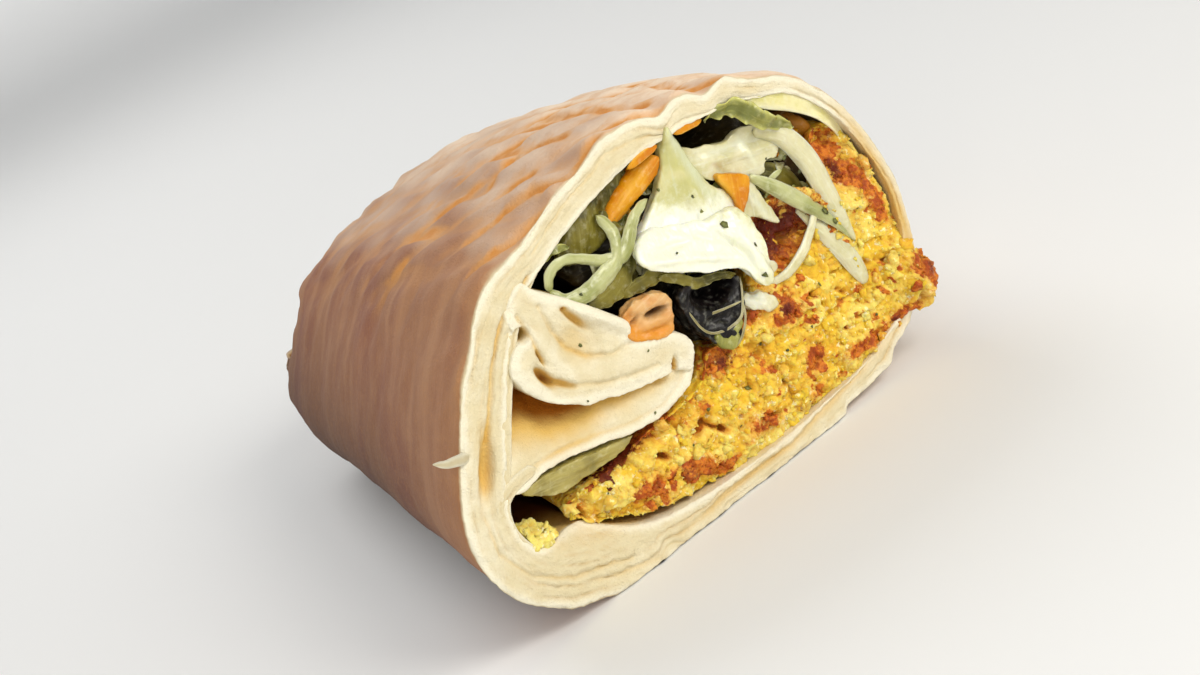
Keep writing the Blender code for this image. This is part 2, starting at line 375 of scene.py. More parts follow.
def newGroup(name, inputs, outputs):
    # a shader group: inputs and outputs are (name, kind, value)
    group = bpy.data.node_groups.new(name, "ShaderNodeTree")
    for way, sockets in (("INPUT", inputs), ("OUTPUT", outputs)):
        for label, kind, *value in sockets:
            socket = group.interface.new_socket(name=label, in_out=way, socket_type="NodeSocket" + kind)
            if value:
                socket.default_value = value[0]
    return group, group.nodes.new("NodeGroupInput").outputs, group.nodes.new("NodeGroupOutput").inputs


def placeGroup(tree, group, **values):
    # one group node with its own values
    return addNode(tree, "ShaderNodeGroup", values, node_tree=group).outputs


def makeGrainGroup():
    # uneven colour or height on Object coordinates, with its size in mm
    group, given, out = newGroup("foodGrain", [
        ("Size", "Float", 1.0), ("Detail", "Float", 3.0), ("Roughness", "Float", 0.55),
        ("Stretch", "Vector", (1.0, 1.0, 1.0)), ("Shift", "Vector", (0.0, 0.0, 0.0)),
        ("Low", "Float", 0.4), ("High", "Float", 0.6)], [("Value", "Float"), ("Mask", "Float")])
    place = addNode(group, "ShaderNodeTexCoord").outputs["Object"]
    perSize = reckon(group, "DIVIDE", 1.0 / mm, given["Size"])
    scaling = {0: given["Stretch"], "Scale": perSize}
    scaled = addNode(group, "ShaderNodeVectorMath", scaling, operation="SCALE").outputs[0]
    mapping = {"Vector": place, "Location": given["Shift"], "Scale": scaled}
    mapped = addNode(group, "ShaderNodeMapping", mapping).outputs[0]
    uneven = addNode(group, "ShaderNodeTexNoise", {"Vector": mapped, "Scale": 1.0, "Detail": given["Detail"],
                                                   "Roughness": given["Roughness"]}).outputs["Fac"]
    group.links.new(uneven, out["Value"])
    group.links.new(ramp(group, uneven, given["Low"], given["High"]), out["Mask"])
    return group


def grain(tree, size, low=0.4, high=0.6, detail=3.0, roughness=0.55, stretch=(1.0, 1.0, 1.0), shift=(0.0, 0.0, 0.0)):
    # a foodGrain node: its plain value, and a mask between low and high
    made = placeGroup(tree, bpy.data.node_groups.get("foodGrain") or makeGrainGroup(), Size=size, Detail=detail,
                      Roughness=roughness, Stretch=stretch, Shift=shift, Low=low, High=high)
    return made["Value"], made["Mask"]


def maskNode(tree, name):
    return addNode(tree, "ShaderNodeAttribute", attribute_name=name).outputs["Fac"]


def bump(tree, height, distance, strength, normal=None):
    inputs = {"Height": height, "Distance": distance * mm, "Strength": strength}
    if normal:
        inputs["Normal"] = normal
    return addNode(tree, "ShaderNodeBump", inputs).outputs[0]


cameraSettings = {
    "place": (-86.03, -291.15, 113.22),
    "target": (-10.45, -45.93, 29.21),
    "roll": math.radians(25.35),
    "lens": 59.7,
    "sensor": 36.0,
    "clip": (0.01, 30.0),      # metres
}


def makeCamera():
    s = cameraSettings
    bpy.ops.object.camera_add()
    camera = bpy.context.object
    place, target = Vector(s["place"]) * mm, Vector(s["target"]) * mm
    ahead = (target - place).normalized()
    level = ahead.cross(Vector((0, 0, 1))).normalized()
    up = math.cos(s["roll"]) * level.cross(ahead) + math.sin(s["roll"]) * level
    right = ahead.cross(up)
    turn = Matrix((right, up, -ahead)).transposed()
    camera.matrix_world = Matrix.Translation(place) @ turn.to_4x4()
    camera.data.lens = s["lens"]
    camera.data.sensor_width = s["sensor"]
    camera.data.clip_start, camera.data.clip_end = s["clip"]
    bpy.context.scene.camera = camera
    print("camera placed")


# in metres: its size, the flat part's reach, how far it stays under the wrap, and how fast it rises behind
floorSettings = {"size": 7.0, "flat": 1.1, "gap": 0.0002, "rise": 0.45, "colour": (0.86, 0.86, 0.85),
                 "darker": 0.985,
                 "finish": {"Roughness": 0.75}}


def makeFloor():
    s = floorSettings
    floor = newGrid("floor", 80, 80)[0]
    points = getPoints(floor) * s["size"] / 2.0
    away = np.maximum(0.0, np.hypot(points[:, 0], points[:, 1]) - s["flat"])
    points[:, 2] = s["rise"] * away ** 2 - s["gap"]
    setPoints(floor, points)
    material, tree, shader = newMaterial("paleFloor", s["finish"])
    darker = [c * s["darker"] for c in s["colour"]]
    colour = mixColours(tree, grain(tree, 400.0, 0.3, 0.7, 2.0)[1], s["colour"], darker)
    tree.links.new(colour, shader.inputs["Base Color"])
    floor.data.materials.append(material)
    floor.data.polygons.foreach_set("use_smooth", [True] * len(floor.data.polygons))


# each light: place, aim, size across, watts, colour
lightSettings = {
    "key": ((330.0, -520.0, 450.0), (0.0, -30.0, 20.0), 380.0, 3.45, (1.0, 0.965, 0.90)),
    "front": ((-200.0, -560.0, 200.0), (0.0, -40.0, 25.0), 380.0, 1.1, (1.0, 0.97, 0.92)),
    "fill": ((-520.0, -120.0, 260.0), (-20.0, 0.0, 25.0), 420.0, 0.28, (1.0, 0.93, 0.90)),
    "back": ((-80.0, 480.0, 560.0), (0.0, 0.0, 30.0), 420.0, 1.8, (1.0, 0.99, 0.97)),
    # evens out the floor far behind the wrap
    "floorFar": ((100.0, 1800.0, 700.0), (100.0, 2000.0, 0.0), 500.0, 4.5, (1.0, 0.99, 0.97)),
}
skySettings = {"colour": (0.95, 0.97, 1.0), "strength": 0.38}


def makeLights():
    for name, (place, aim, size, watts, colour) in lightSettings.items():
        bpy.ops.object.light_add(type="AREA", location=Vector(place) * mm)
        light = bpy.context.object
        light.name = name
        light.rotation_euler = (Vector(aim) - Vector(place)).to_track_quat("-Z", "Y").to_euler()
        light.data.size = size * mm
        light.data.energy = watts
        light.data.color = colour
    world = bpy.data.worlds.new("sky")
    world.use_nodes = True
    sky = world.node_tree.nodes["Background"]
    sky.inputs["Color"].default_value = (*skySettings["colour"], 1.0)
    sky.inputs["Strength"].default_value = skySettings["strength"]
    bpy.context.scene.world = world
    bpy.context.scene.view_settings.view_transform = "Standard"
    print("floor and lights made")


breadSettings = {
    "cut": paint(218, 205, 167), "cutEdge": paint(234, 227, 202), "cutLine": paint(196, 164, 112),
    # the golden and the deep brown colours on the next line are painted shade, for the cut's gaps and hollows and the
    # inside behind the cut, with some golden tone along the bottom
    "cutShade": paint(208, 187, 138), "goldAndShade": paint(214, 176, 96), "deep": paint(156, 90, 18),
    "top": paint(246, 224, 198), "topWarm": paint(230, 190, 150), "side": paint(168, 120, 90),
    # the side colours are partly painted shade; the last on the next line is the darkest painted shade, near the
    # table
    "sideLight": paint(196, 150, 114), "sideMauve": paint(144, 92, 80), "sideLowShade": paint(72, 52, 46),
    "mark": paint(226, 160, 80), "markDark": paint(202, 124, 52),
    "layerLines": (22.0, 170.0, 1.0),   # lines to 100 mm along the sheet, and through it
    "finish": {"Roughness": 0.65, "Specular IOR Level": 0.15},
}


def makeBreadMaterial():
    s = breadSettings
    material, tree, shader = newMaterial("flatbread", s["finish"])
    # the cut: cream, with fine lines that follow the layers, white torn edges, paler patches with painted highlight
    # on the ridges, and golden to brown painted shade in its gaps and hollows
    uv = addNode(tree, "ShaderNodeTexCoord").outputs["UV"]
    along = addNode(tree, "ShaderNodeMapping", {"Vector": uv, "Scale": s["layerLines"]}).outputs[0]
    layers = addNode(tree, "ShaderNodeTexNoise", {"Vector": along, "Scale": 1.0, "Detail": 4.0,
                                                  "Roughness": 0.62}).outputs["Fac"]
    fluff, fluffMask = grain(tree, 0.5, 0.48, 0.74, roughness=0.65)
    blotches, blotchMask = grain(tree, 4.0, 0.45, 0.68)
    torn = plus(tree, maskNode(tree, "edge"), swing(tree, fluff, 0.7))
    goldAndShade = plus(tree, maskNode(tree, "goldAndShade"), swing(tree, blotches, 0.25))
    cut = paintOver(tree, s["cut"],
                    (times(tree, ramp(tree, layers, 0.46, 0.74), 0.42), s["cutShade"]),
                    (times(tree, fluffMask, 0.25), s["cutShade"]),
                    (times(tree, maskNode(tree, "across"), 0.55), s["cutLine"]),
                    (ramp(tree, torn, 0.0, 1.05), s["cutEdge"]),
                    # painted shade: gaps, hollows and the inside behind the cut turn golden, then brown
                    (ramp(tree, goldAndShade, 0.04, 0.62), s["goldAndShade"]),     # hidden folds turn golden, then brown
                    (ramp(tree, goldAndShade, 0.55, 1.25), s["deep"]))
    # the outside: pale on top, pink-tan down the side, streaked round the wrap; the side's colour is partly toasted
    # bread and partly painted shade, as that side faces away from the light, and darker still toward the table
    streaks = grain(tree, 1.0, 0.42, 0.70, 3.0, 0.5, (0.03, 0.20, 0.03))[1]
    broad = grain(tree, 1.0, 0.44, 0.70, 2.0, 0.5, (0.02, 0.10, 0.03), (3.0, 9.0, 1.0))[1]
    side = paintOver(tree, s["side"],
                     (times(tree, streaks, 0.5), s["sideLight"]),
                     (times(tree, broad, 0.6), s["sideMauve"]),
                     (times(tree, blotchMask, 0.22), s["sideLight"]),
                     # painted shade, darker toward the table
                     (maskNode(tree, "low"), s["sideLowShade"]))
    mark = times(tree, maskNode(tree, "mark"), plus(tree, 0.5, blotches), clamp=True)
    outer = paintOver(tree, s["top"],
                      (times(tree, blotchMask, 0.6), s["topWarm"]),
                      (maskNode(tree, "shade"), side),
                      (mark, s["mark"]),       # the grill marks, darkest where they are strongest
                      (times(tree, ramp(tree, mark, 0.6, 1.0), times(tree, fluff, 0.9)), s["markDark"]),
                      (times(tree, fluffMask, 0.14), s["mark"]))
    tree.links.new(mixColours(tree, maskNode(tree, "outside"), cut, outer), shader.inputs["Base Color"])
    pores = plus(tree, grain(tree, 0.3, detail=2.0, roughness=0.6)[0], times(tree, layers, 0.9))
    skin = bump(tree, grain(tree, 1.5, detail=4.0, roughness=0.6)[0], 0.3, 0.5, bump(tree, pores, 0.22, 0.8))
    tree.links.new(skin, shader.inputs["Normal"])
    return material


wallSettings = {
    # the outer line: across, up, layers of flatbread there
    "line": [
        (-24.0, -24.0, 3.0), (0.0, -24.5, 2.1), (24.0, -21.8, 1.5), (36.2, -16.0, 1.0), (41.3, -3.0, 0.8),
        (39.5, 12.0, 0.9), (31.0, 24.0, 1.15), (15.0, 29.4, 1.7), (0.0, 30.0, 2.0), (-16.0, 26.2, 2.1),
        (-27.8, 21.8, 2.8), (-37.6, 9.8, 3.2), (-44.1, -4.0, 3.3), (-42.3, -14.0, 3.3), (-35.0, -20.6, 3.3),
    ],
    "columns": 430,
    "step": 0.8,               # between rows along the wrap
    "cutRows": 32,
    "layers": 2.1,             # thickness of one layer in line
    "thinning": 0.10,          # lost behind the cut for each mm, down to "thin", to leave room for the filling
    "thin": 1.7,
    "shelf": 3.6,              # low on the left the innermost sheet rises slowly behind the cut, round here
    "shelfAt": (-31.0, -21.5, 9.0, 6.0, 0, 1.0),
    "straight": 0.72,          # share of the length before the end closes
    "gathers": 1.1,            # how far its gathers stand out
    # the end folded in: share of the length, how open
    "tuck": [(0.998, 0.10), (0.994, 0.04), (0.985, 0.02), (0.97, 0.02)],
    "markPitch": (9.7, 8.1),   # between grill bars, each way
    "markTurn": (-42.0, -79.0),    # from straight across
    "markStart": (-49.6, -5.5),
    "markWidth": (1.6, 1.5),
    "markReach": (34.0, 60.0),     # behind the cut, where the marks fade
    "pillow": 0.85,            # how far the bread rises between the marks
    "rimToast": 0.26,          # how toasted the outside is right behind the cut
    "litInside": (34.0, 13.0, 8.0, 13.0, 0, 1.5),      # where the inner face stays pale
    # grill bars near the cut, as lines on the top: across, along the wrap
    "markLines": [
        [(-22.8, -47.6), (-18.0, -50.5), (-11.4, -52.5)],
        [(-19.2, -36.8), (-13.0, -40.1), (-10.0, -42.9), (-7.8, -47.8), (-5.6, -50.9)],
        [(-10.6, -32.8), (-6.8, -36.3)],
        [(-8.9, -23.6), (-1.5, -21.4), (-0.4, -26.5), (1.2, -33.2)],
        [(-5.2, -50.0), (0.0, -47.6)],
        [(7.2, -10.5), (8.6, -32.4), (10.6, -41.8)],
        [(3.3, -45.6), (11.1, -47.7)],
        [(20.6, -23.0), (18.2, -36.6)],
        [(18.4, -40.4), (21.1, -45.6)],
    ],
    # where the rim is pushed out or in: across, up, reach, how far
    "rimBumps": [
        (-20.0, 24.6, 4.0, -0.5), (-10.5, 27.6, 3.6, 0.4), (-1.5, 30.2, 3.4, 1.1), (3.4, 29.8, 2.6, 0.5),
        (8.4, 29.0, 1.9, -1.3), (12.4, 29.0, 2.2, 0.4), (16.6, 28.4, 1.6, -0.8), (20.4, 27.8, 2.2, 0.9),
        (26.0, 26.0, 2.6, -0.3), (-33.0, 17.0, 3.0, -0.4), (41.0, 2.0, 4.0, 0.3), (30.0, -19.0, 3.0, -0.5),
    ],
    # the torn lower edge: across, and how far the outermost bread stands in or out there
    "tornEdge": [
        (-40.0, -35.0, -30.5, -26.5, -20.0, -19.0, -17.4, -15.6, -10.0, -7.2, 5.0, 6.0, 17.0, 18.0, 28.0, 29.5,
         36.0),
        (0.0, 0.3, -0.4, 0.4, 1.0, -0.8, -1.0, 0.6, 0.8, -0.6, -0.2, 0.8, 0.4, -0.8, 0.5, -0.6, 0.0),
    ],
}


def grillMarks(points):
    # how strongly a grill bar marked each point of the top, and the groove that it pressed
    s = wallSettings
    wander = np.stack([noiseAt(points, 11.0, 11.0), noiseAt(points, 11.0, 23.0)], axis=1) * 1.5
    strength = np.zeros(len(points))
    groove = np.zeros(len(points))
    near = 1.0 - smoothStep(points[:, 1], -28.0, -18.0)
    bars = zip(s["markPitch"], s["markTurn"], s["markStart"], s["markWidth"])
    for k, (pitch, turn, begin, width) in enumerate(bars):
        turn = math.radians(turn)
        across = -points[:, 0] * math.sin(turn) + points[:, 1] * math.cos(turn) + wander[:, k] - begin
        away = np.abs((across / pitch + 0.5) % 1.0 - 0.5) * pitch
        wide = width * (1.0 + 0.35 * noiseAt(points, 5.0, 31.0 + k))
        bar = 1.0 - smoothStep(away, wide * 0.5, wide * 1.3)
        broken = smoothStep(noiseAt(points, 7.0, 47.0 + k, 2), -0.42, 0.12)
        strength = np.maximum(strength, bar * (0.25 + 0.75 * broken) * (1.0 - 0.75 * near))
        groove = np.maximum(groove, (1.0 - smoothStep(away, 0.0, wide * 2.4)) * (1.0 - 0.4 * near))
    spread = 1.0 + 0.45 * noiseAt(points, 2.6, 61.0, 2)
    toasted = np.clip(0.85 + 0.6 * noiseAt(points, 4.0, 67.0, 2), 0.35, 1.05)
    for line in s["markLines"]:
        away = nearLine(points[:, 0], points[:, 1], line)[0] / spread
        strength = np.maximum(strength, toasted * (1.0 - smoothStep(away, 0.45, 2.3)))
        groove = np.maximum(groove, 1.0 - smoothStep(away, 0.0, 2.2))
    return strength, groove


# what the cut end of the bread shows
cutSettings = {
    # gaps, as bumpsAt takes them with the amount in mm deep, and how golden the painted shade in each is
    "gaps": [
        ((-37.2, 2.6, 0.95, 4.2, -29, 1.7, 1.5), 0.42),
        ((-38.2, 1.0, 1.2, 2.2, -29, 0.5, 1.5), 0.1),
        ((-4.0, -21.6, 11.0, 0.6, 0, 0.7, 1.4), 0.26),
        ((15.0, -20.4, 10.0, 0.5, 7, 0.6, 1.4), 0.22),
        ((29.5, -17.9, 6.0, 0.5, 8, 0.3, 1.0), 0.16),
        ((-24.0, -21.4, 8.0, 0.35, -12, 0.3, 1.0), 0.22),
    ],
    # lines between the layers: points, half width, how deep, how golden their painted shade is
    "lines": [
        ([(-35.6, 5.4), (-33.2, 9.0), (-30.4, 13.4), (-26.5, 17.6), (-20.0, 21.0)], 0.34, 0.45, 0.38),
        ([(-40.6, -3.0), (-41.2, -8.0), (-38.6, -13.4), (-33.0, -17.4), (-24.0, -20.0)], 0.3, 0.4, 0.22),
        ([(-42.6, 1.0), (-40.0, 5.4), (-36.6, 10.4), (-31.8, 16.4), (-26.6, 20.0)], 0.22, 0.25, 0.12),
        ([(-18.0, 23.4), (-10.0, 26.2), (-2.0, 28.2), (6.0, 27.8)], 0.25, 0.3, 0.2),
    ],
    # palest ridges of the folded tongue and a pale band low on the left: paler bread, with painted highlight where
    # they face the light
    "pale": [
        (-13.2, 11.0, 1.3, 5.6, 45, 1.0), (-21.6, 9.6, 1.0, 4.4, 14, 0.9), (-13.0, 0.6, 8.0, 0.9, -14, 0.8),
        (-26.2, 8.4, 1.0, 4.0, 25, 0.9), (-6.0, -4.4, 6.0, 1.0, -5, 0.7), (-39.6, 0.4, 1.0, 9.0, -12, 0.6),
    ],
    # golden tint along the bottom, and golden painted shade up the inside of the right wall and in the hollows beside
    # the tongue
    "golden": [
        (6.0, -20.6, 26.0, 2.2, 3, 0.17), (38.8, 2.0, 2.4, 13.0, 6, 0.62), (-36.6, 5.0, 2.2, 6.0, -28, 0.16),
        (-18.0, 10.0, 3.0, 5.0, 0, 0.12), (30.0, -18.0, 10.0, 3.0, 8, 0.08),
        (-33.6, -13.6, 7.0, 2.4, -35, 0.08),
    ],
}


def cutFace(u, v, along, inward, seed=0.0, step=1.4, strong=1.0):
    # the relief of cut flatbread: how far each spot lies behind the cut, its thin dark lines, and how golden its
    # painted shade is in grooves, gaps and lines
    place = flatSpots(along / 10.0, inward / 2.0, seed)
    layer = (inward + 0.6 * noiseAt(place, 1.0, 3.0, 2)) / step
    away = np.abs((layer + 0.5) % 1.0 - 0.5) * step
    shown = smoothStep(noiseAt(place * [1.3, 0.9, 1.0], 1.0, 9.0), -0.40, 0.30) * strong
    groove = np.exp(-(away / 0.17) ** 2) * shown
    fibres = noiseAt(flatSpots(along / 1.6, inward / 0.24, seed), 1.0, 5.0)
    flat = flatSpots(u, v, seed * 9.0)
    deep = 0.30 * groove + 0.08 * fibres + 0.16 * noiseAt(flat, 0.9, 8.0, 2) + 0.25 * noiseAt(flat, 4.5, seed + 2.0)
    lines = np.clip(0.8 * groove + 0.3 * fibres + 0.3 * noiseAt(flat, 1.6, 4.0), 0.0, 1.0)
    golden = 0.07 * groove
    for gap, tint in cutSettings["gaps"]:
        here = bumpsAt(u, v, [gap])
        deep, golden = deep + here, golden + tint * here / gap[5]
    for line, wide, low, tint in cutSettings["lines"]:
        here = np.exp(-(nearLine(u, v, line)[0] / wide) ** 2) * strong
        deep, golden = deep + low * here, golden + tint * here
    return deep, lines, golden


def paleAndHighlit(u, v):
    # where the cut bread is palest: random pale patches, and ridges that are paler with painted highlight
    return np.clip(bumpsAt(u, v, cutSettings["pale"]) + 0.5 + 0.6 * noiseAt(flatSpots(u, v), 3.5, 91.0, 2), 0.0, 1.0)


def goldenCut(u, v):
    return bumpsAt(u, v, cutSettings["golden"])


# painted shade: bread farther behind the cut turns golden, then brown
def shadeByDepth(depth, near, far):
    return 0.42 * smoothStep(depth, near, near + 3.0) + 0.8 * smoothStep(depth, near + 3.0, far)


def rimWave(u, v, depth):
    out = np.zeros(len(u))
    for middleU, middleV, reach, amount in wallSettings["rimBumps"]:
        out += amount * np.exp(-((u - middleU) ** 2 + (v - middleV) ** 2) / reach ** 2)
    return out * np.exp(-(np.maximum(depth, 0.0) / 8.0) ** 1.5)


def ragged(points, size, amount, seed):
    return amount * (0.75 * noiseAt(points, size * 2.6, seed) + 0.45 * noiseAt(points, size * 0.55, seed + 5.0, 2))


def writeUv(made, column, row, length, rows):
    # U runs along the sheet and V through it and back, both in units of 100 mm
    steps = [abs(b[1] - a[1]) + abs(b[0] - a[0]) * 0.9 for a, b in zip(rows, rows[1:])]
    walked = np.concatenate([[0.0], np.cumsum(steps)])
    spots = np.stack([column / max(column) * length, walked[row]], axis=1) / 100.0
    corner = np.empty(len(made.data.loops), dtype=np.int32)
    made.data.loops.foreach_get("vertex_index", corner)
    made.data.uv_layers.active.data.foreach_set("uv", spots[corner].astype(np.float32).ravel())


def makeOuterWall(material):
    s = wallSettings
    path, length = smoothPath(s["line"], s["columns"], closed=True)
    right = sideways(path, closed=True)
    total = wrapShape["length"]
    # each row: how far in from the outside (0 outer face, 1 inner face), depth behind the cut, pinch
    inner = [(1.0, d, 1.0) for d in total * 0.955 * np.linspace(1.0, 0.0, 15) ** 1.5 + 0.35]
    ends = np.linspace(0.0, 1.0, s["cutRows"])
    rounded = 0.22 * np.exp(-ends / 0.03) + 0.2 * np.exp(-(1.0 - ends) / 0.03)
    edge = [(t, d, 1.0) for t, d in zip(1.0 - ends, rounded)]
    straight = total * s["straight"]
    outer = [(0.0, d, 1.0) for d in np.arange(0.8, straight, s["step"])]
    closing = np.sin(np.linspace(0.0, math.pi / 2, 42)) ** 1.15
    outer += [(0.0, straight + (total - straight) * c, 1.0) for c in closing]
    tuck = [(0.0, total * share, gap) for share, gap in s["tuck"]]
    rows = inner + edge + outer + tuck + [inner[0]]
    firstOuter, lastOuter = len(inner) + len(edge), len(inner) + len(edge) + len(outer)
    wall, column, row = newGrid("flatbreadOuter", s["columns"], len(rows) - 1)
    inward, depth, pinch = (np.array([r[k] for r in rows])[row] for k in range(3))
    thick = np.maximum(1.75, path[column, 2] * s["layers"])
    extra = s["shelf"] * bumpsAt(path[column, 0], path[column, 1], [s["shelfAt"]])
    shelf = np.maximum(0.0, inward * (thick + extra) - thick)
    thick = thick + extra
    thick = np.where(depth > 3.0, np.maximum(s["thin"], thick - s["thinning"] * (depth - 3.0)), thick)
    off = -inward * thick
    u = path[column, 0] + right[column, 0] * off
    v = path[column, 1] + right[column, 1] * off
    # the cut end's relief
    nearFront = 1.0 - smoothStep(depth, 0.0, 4.0)
    flat = flatSpots(u, v)
    onCut = (row >= len(inner) - 1) & (row <= firstOuter)
    low = 1.0 - smoothStep(v, -21.0, -17.0)
    faceDeep, faceLines, faceGolden = cutFace(u, v, column / s["columns"] * length, inward * thick)
    torn = low * 0.5 * ragged(flat, 1.4, 0.7, 8.0) * nearFront * (1.0 - inward)
    depth = depth + ragged(flat, 2.4, 0.35, 3.0) * nearFront + torn
    depth = depth + faceDeep * onCut * smoothStep(inward, 0.0, 0.05) * smoothStep(1.0 - inward, 0.0, 0.04)
    depth = depth + 0.75 * shelf ** 1.15 * nearFront
    faceGolden = faceGolden + 0.13 * smoothStep(shelf, 0.0, 1.2)
    wave = rimWave(u, v, depth) * smoothStep(-v, 22.0, 18.0)
    wave += np.interp(u, *s["tornEdge"]) * low * (1.0 - inward) * np.exp(-np.maximum(depth, 0.0) / 2.5)
    wave += 0.16 * noiseAt(flat, 1.1, 21.0, 2) * np.exp(-np.maximum(depth, 0.0) / 1.2) * (v > -22.5)
    u, v = u + right[column, 0] * wave, v + right[column, 1] * wave
    points = placeOnWrap(u, v, depth / total, pinch)
    setPoints(wall, points)
    # which way the outside faces, before it is made uneven
    outside = (row >= firstOuter - 1) & (row < lastOuter + 2)
    normals = getNormals(wall)
    centre = np.array([0.0, 0.0, 22.0]) * mm
    if np.mean(np.sum(normals * (points - centre), axis=1)[outside]) < 0:
        normals = -normals
    # the outside's pillows between the grill marks, and its slow unevenness
    spots = points / mm
    strength, groove = grillMarks(spots)
    onTop = smoothStep(normals[:, 2], 0.30, 0.80)
    behindCut = spots[:, 1] - (wrapShape["cutY"] + spots[:, 0] * math.tan(wrapShape["slant"]))
    fade = 1.0 - smoothStep(behindCut, *s["markReach"])
    strength = strength * smoothStep(spots[:, 0], -34.0, -22.0)
    marks = np.maximum(strength * onTop * (0.25 + 0.75 * fade), s["rimToast"] * np.exp(-behindCut / 5.0)) * outside
    rise = s["pillow"] * (1.0 - 1.35 * groove) * onTop * (0.35 + 0.65 * fade)
    rise += 0.16 * noiseAt(spots * np.array([0.3, 1.0, 0.3]), 7.0, 5.0, 2)
    rise += (0.5 * noiseAt(spots, 19.0, 13.0) + 0.3 * noiseAt(spots, 8.0, 17.0) * onTop
             + 0.07 * noiseAt(spots, 1.8, 19.0, 2))
    # gathers where the end is tucked in
    toEnd = smoothStep(depth, straight, total * 0.97)
    turn = np.arctan2(spots[:, 2] - 24.0, spots[:, 0])
    gathers = noiseAt(np.stack([np.cos(turn) * 5.5, np.sin(turn) * 5.5, depth * 0.02], axis=1), 1.0, 3.0, 2)
    rise += toEnd * s["gathers"] * gathers * (depth < total * s["tuck"][0][0])
    onTable = smoothStep(spots[:, 2], 0.3, 3.0)
    rise = np.clip(rise, -1.2, 0.75) * outside * onTable * smoothStep(depth, 0.2, 1.6)
    setPoints(wall, points + normals * rise[:, None] * mm)
    setMask(wall, "outside", outside * smoothStep(depth, 0.35, 0.8))
    setMask(wall, "mark", marks)
    # painted shade: the side facing away from the light and the far-left shoulder take the darker side colours, and
    # the side darkens toward the table, less so right behind the cut
    shoulderShade = 0.34 * smoothStep(-spots[:, 0], 2.0, 26.0)
    leaning = -normals[:, 0] + 0.30 * noiseAt(spots * np.array([0.6, 0.25, 0.6]), 4.0, 73.0, 2)
    setMask(wall, "shade", np.clip(smoothStep(leaning, -0.45, 0.95) + shoulderShade, 0.0, 1.0) * outside)
    darker = 0.2 + 0.8 * smoothStep(behindCut, 2.0, 45.0)
    setMask(wall, "low", smoothStep(-spots[:, 2], -38.0, -6.0) * darker * outside)
    setMask(wall, "across", faceLines * onCut)
    fromEdge = np.minimum(inward * thick, 1.2 * (1.0 - inward) * thick)
    # pale torn edges, and on the cut the palest patches and ridges, partly painted highlight
    setMask(wall, "edge", np.exp(-(fromEdge / 0.8) ** 2) * ~outside * nearFront + 0.55 * paleAndHighlit(u, v) * onCut)
    # painted shade on the inner face behind the cut, lighter where litInside lies, with the cut face's golden gaps,
    # lines and patches
    lit = 1.0 - 0.6 * np.clip(bumpsAt(u, v, [s["litInside"]]), 0.0, 1.0)
    golden = shadeByDepth(depth, 0.8, 18.0) * lit * ~onCut + (faceGolden + goldenCut(u, v)) * nearFront
    setMask(wall, "goldAndShade", golden * ~outside)
    writeUv(wall, column, row, length, [(r[0] * 4.0, r[1]) for r in rows])
    weld(wall)
    return finishPiece(wall, material, "tortilla", "tortilla")


# sheets beside the tongue: line is across, up and thickness; front is the depth behind the cut, along the sheet
tongueSheets = {
    "tongueUnder": {
        "line": [(-33.6, -14.2, 0.8), (-36.4, -11.4, 1.7), (-38.1, -8.0, 2.0), (-38.3, -5.0, 2.2),
                 (-37.4, -2.7, 2.2), (-34.6, -1.5, 1.9), (-31.0, -1.4, 1.6)],
        "front": [0.4, 0.3, 0.0, 0.2, 0.1, 0.0, 0.2], "seed": 30.0,
    },
    "tongueRoot": {
        "line": [(-37.0, -2.4, 1.6), (-34.9, 1.6, 2.4), (-32.8, 5.6, 2.6), (-30.2, 10.0, 2.8),
                 (-27.0, 14.6, 2.8), (-23.0, 18.6, 2.5), (-17.6, 21.4, 1.2)],
        "front": [0.2, 0.1, 0.2, 0.3, 0.6], "seed": 31.0,
    },
}


def makeTongueSheet(name, material):
    # one sheet of flatbread seen end on
    s = tongueSheets[name]
    spacing, deep = 0.4, 44.0
    count = int(sum(math.hypot(b[0] - a[0], b[1] - a[1]) for a, b in zip(s["line"], s["line"][1:])) / spacing)
    path, length = smoothPath(s["line"], count)
    right = sideways(path)
    back = deep * np.linspace(1.0, 0.0, 12, endpoint=False) ** 1.8 + 0.3
    ends = np.linspace(-1.0, 1.0, 15)
    rows = [(-1.0, d) for d in back] + [(t, 0.22 * abs(t) ** 12) for t in ends] + [(1.0, d) for d in back[::-1]]
    rows = [(0.0, rows[0][1])] + rows + [(0.0, rows[-1][1])]
    sheet, column, row = newGrid(name, count, len(rows) - 1)
    across, depth = (np.array([r[k] for r in rows])[row] for k in range(2))
    reach = np.minimum(column, count - column) * spacing
    half = path[column, 2] / 2.0 * np.sqrt(np.clip(reach / 0.9, 0.0, 1.0))
    u = path[column, 0] + right[column, 0] * half * across
    v = path[column, 1] + right[column, 1] * half * across
    nearFront = 1.0 - smoothStep(depth, 0.0, 3.5)
    faceDeep, faceLines, faceGolden = cutFace(u, v, column * spacing, half * (1.0 + across), s["seed"], 1.2, 0.8)
    start = np.interp(column / count, np.linspace(0, 1, len(s["front"])), s["front"])
    onCut = depth < 0.28
    depth = depth + start + faceDeep * onCut * (1.0 - np.abs(across) ** 8)
    depth = depth + ragged(flatSpots(u, v, s["seed"] * 9.0), 2.2, 0.25, s["seed"]) * nearFront
    sag = noiseAt(np.stack([u, v, depth], axis=1), 6.0, s["seed"] + 2.0) * 0.25 * (1.0 - nearFront)
    points = placeOnWrap(u + right[column, 0] * sag, v + right[column, 1] * sag, depth / wrapShape["length"])
    setPoints(sheet, points)
    setMask(sheet, "across", faceLines * onCut)
    setMask(sheet, "edge", 0.8 * np.abs(across) ** 3 * nearFront)
    # painted shade by depth behind the cut, and golden painted shade in the cut's gaps and lines
    setMask(sheet, "goldAndShade", shadeByDepth(depth, 1.2, 22.0) * ~onCut + (faceGolden + goldenCut(u, v)) * nearFront)
    writeUv(sheet, column, row, length, rows)
    weld(sheet)
    return finishPiece(sheet, material, "tortilla")


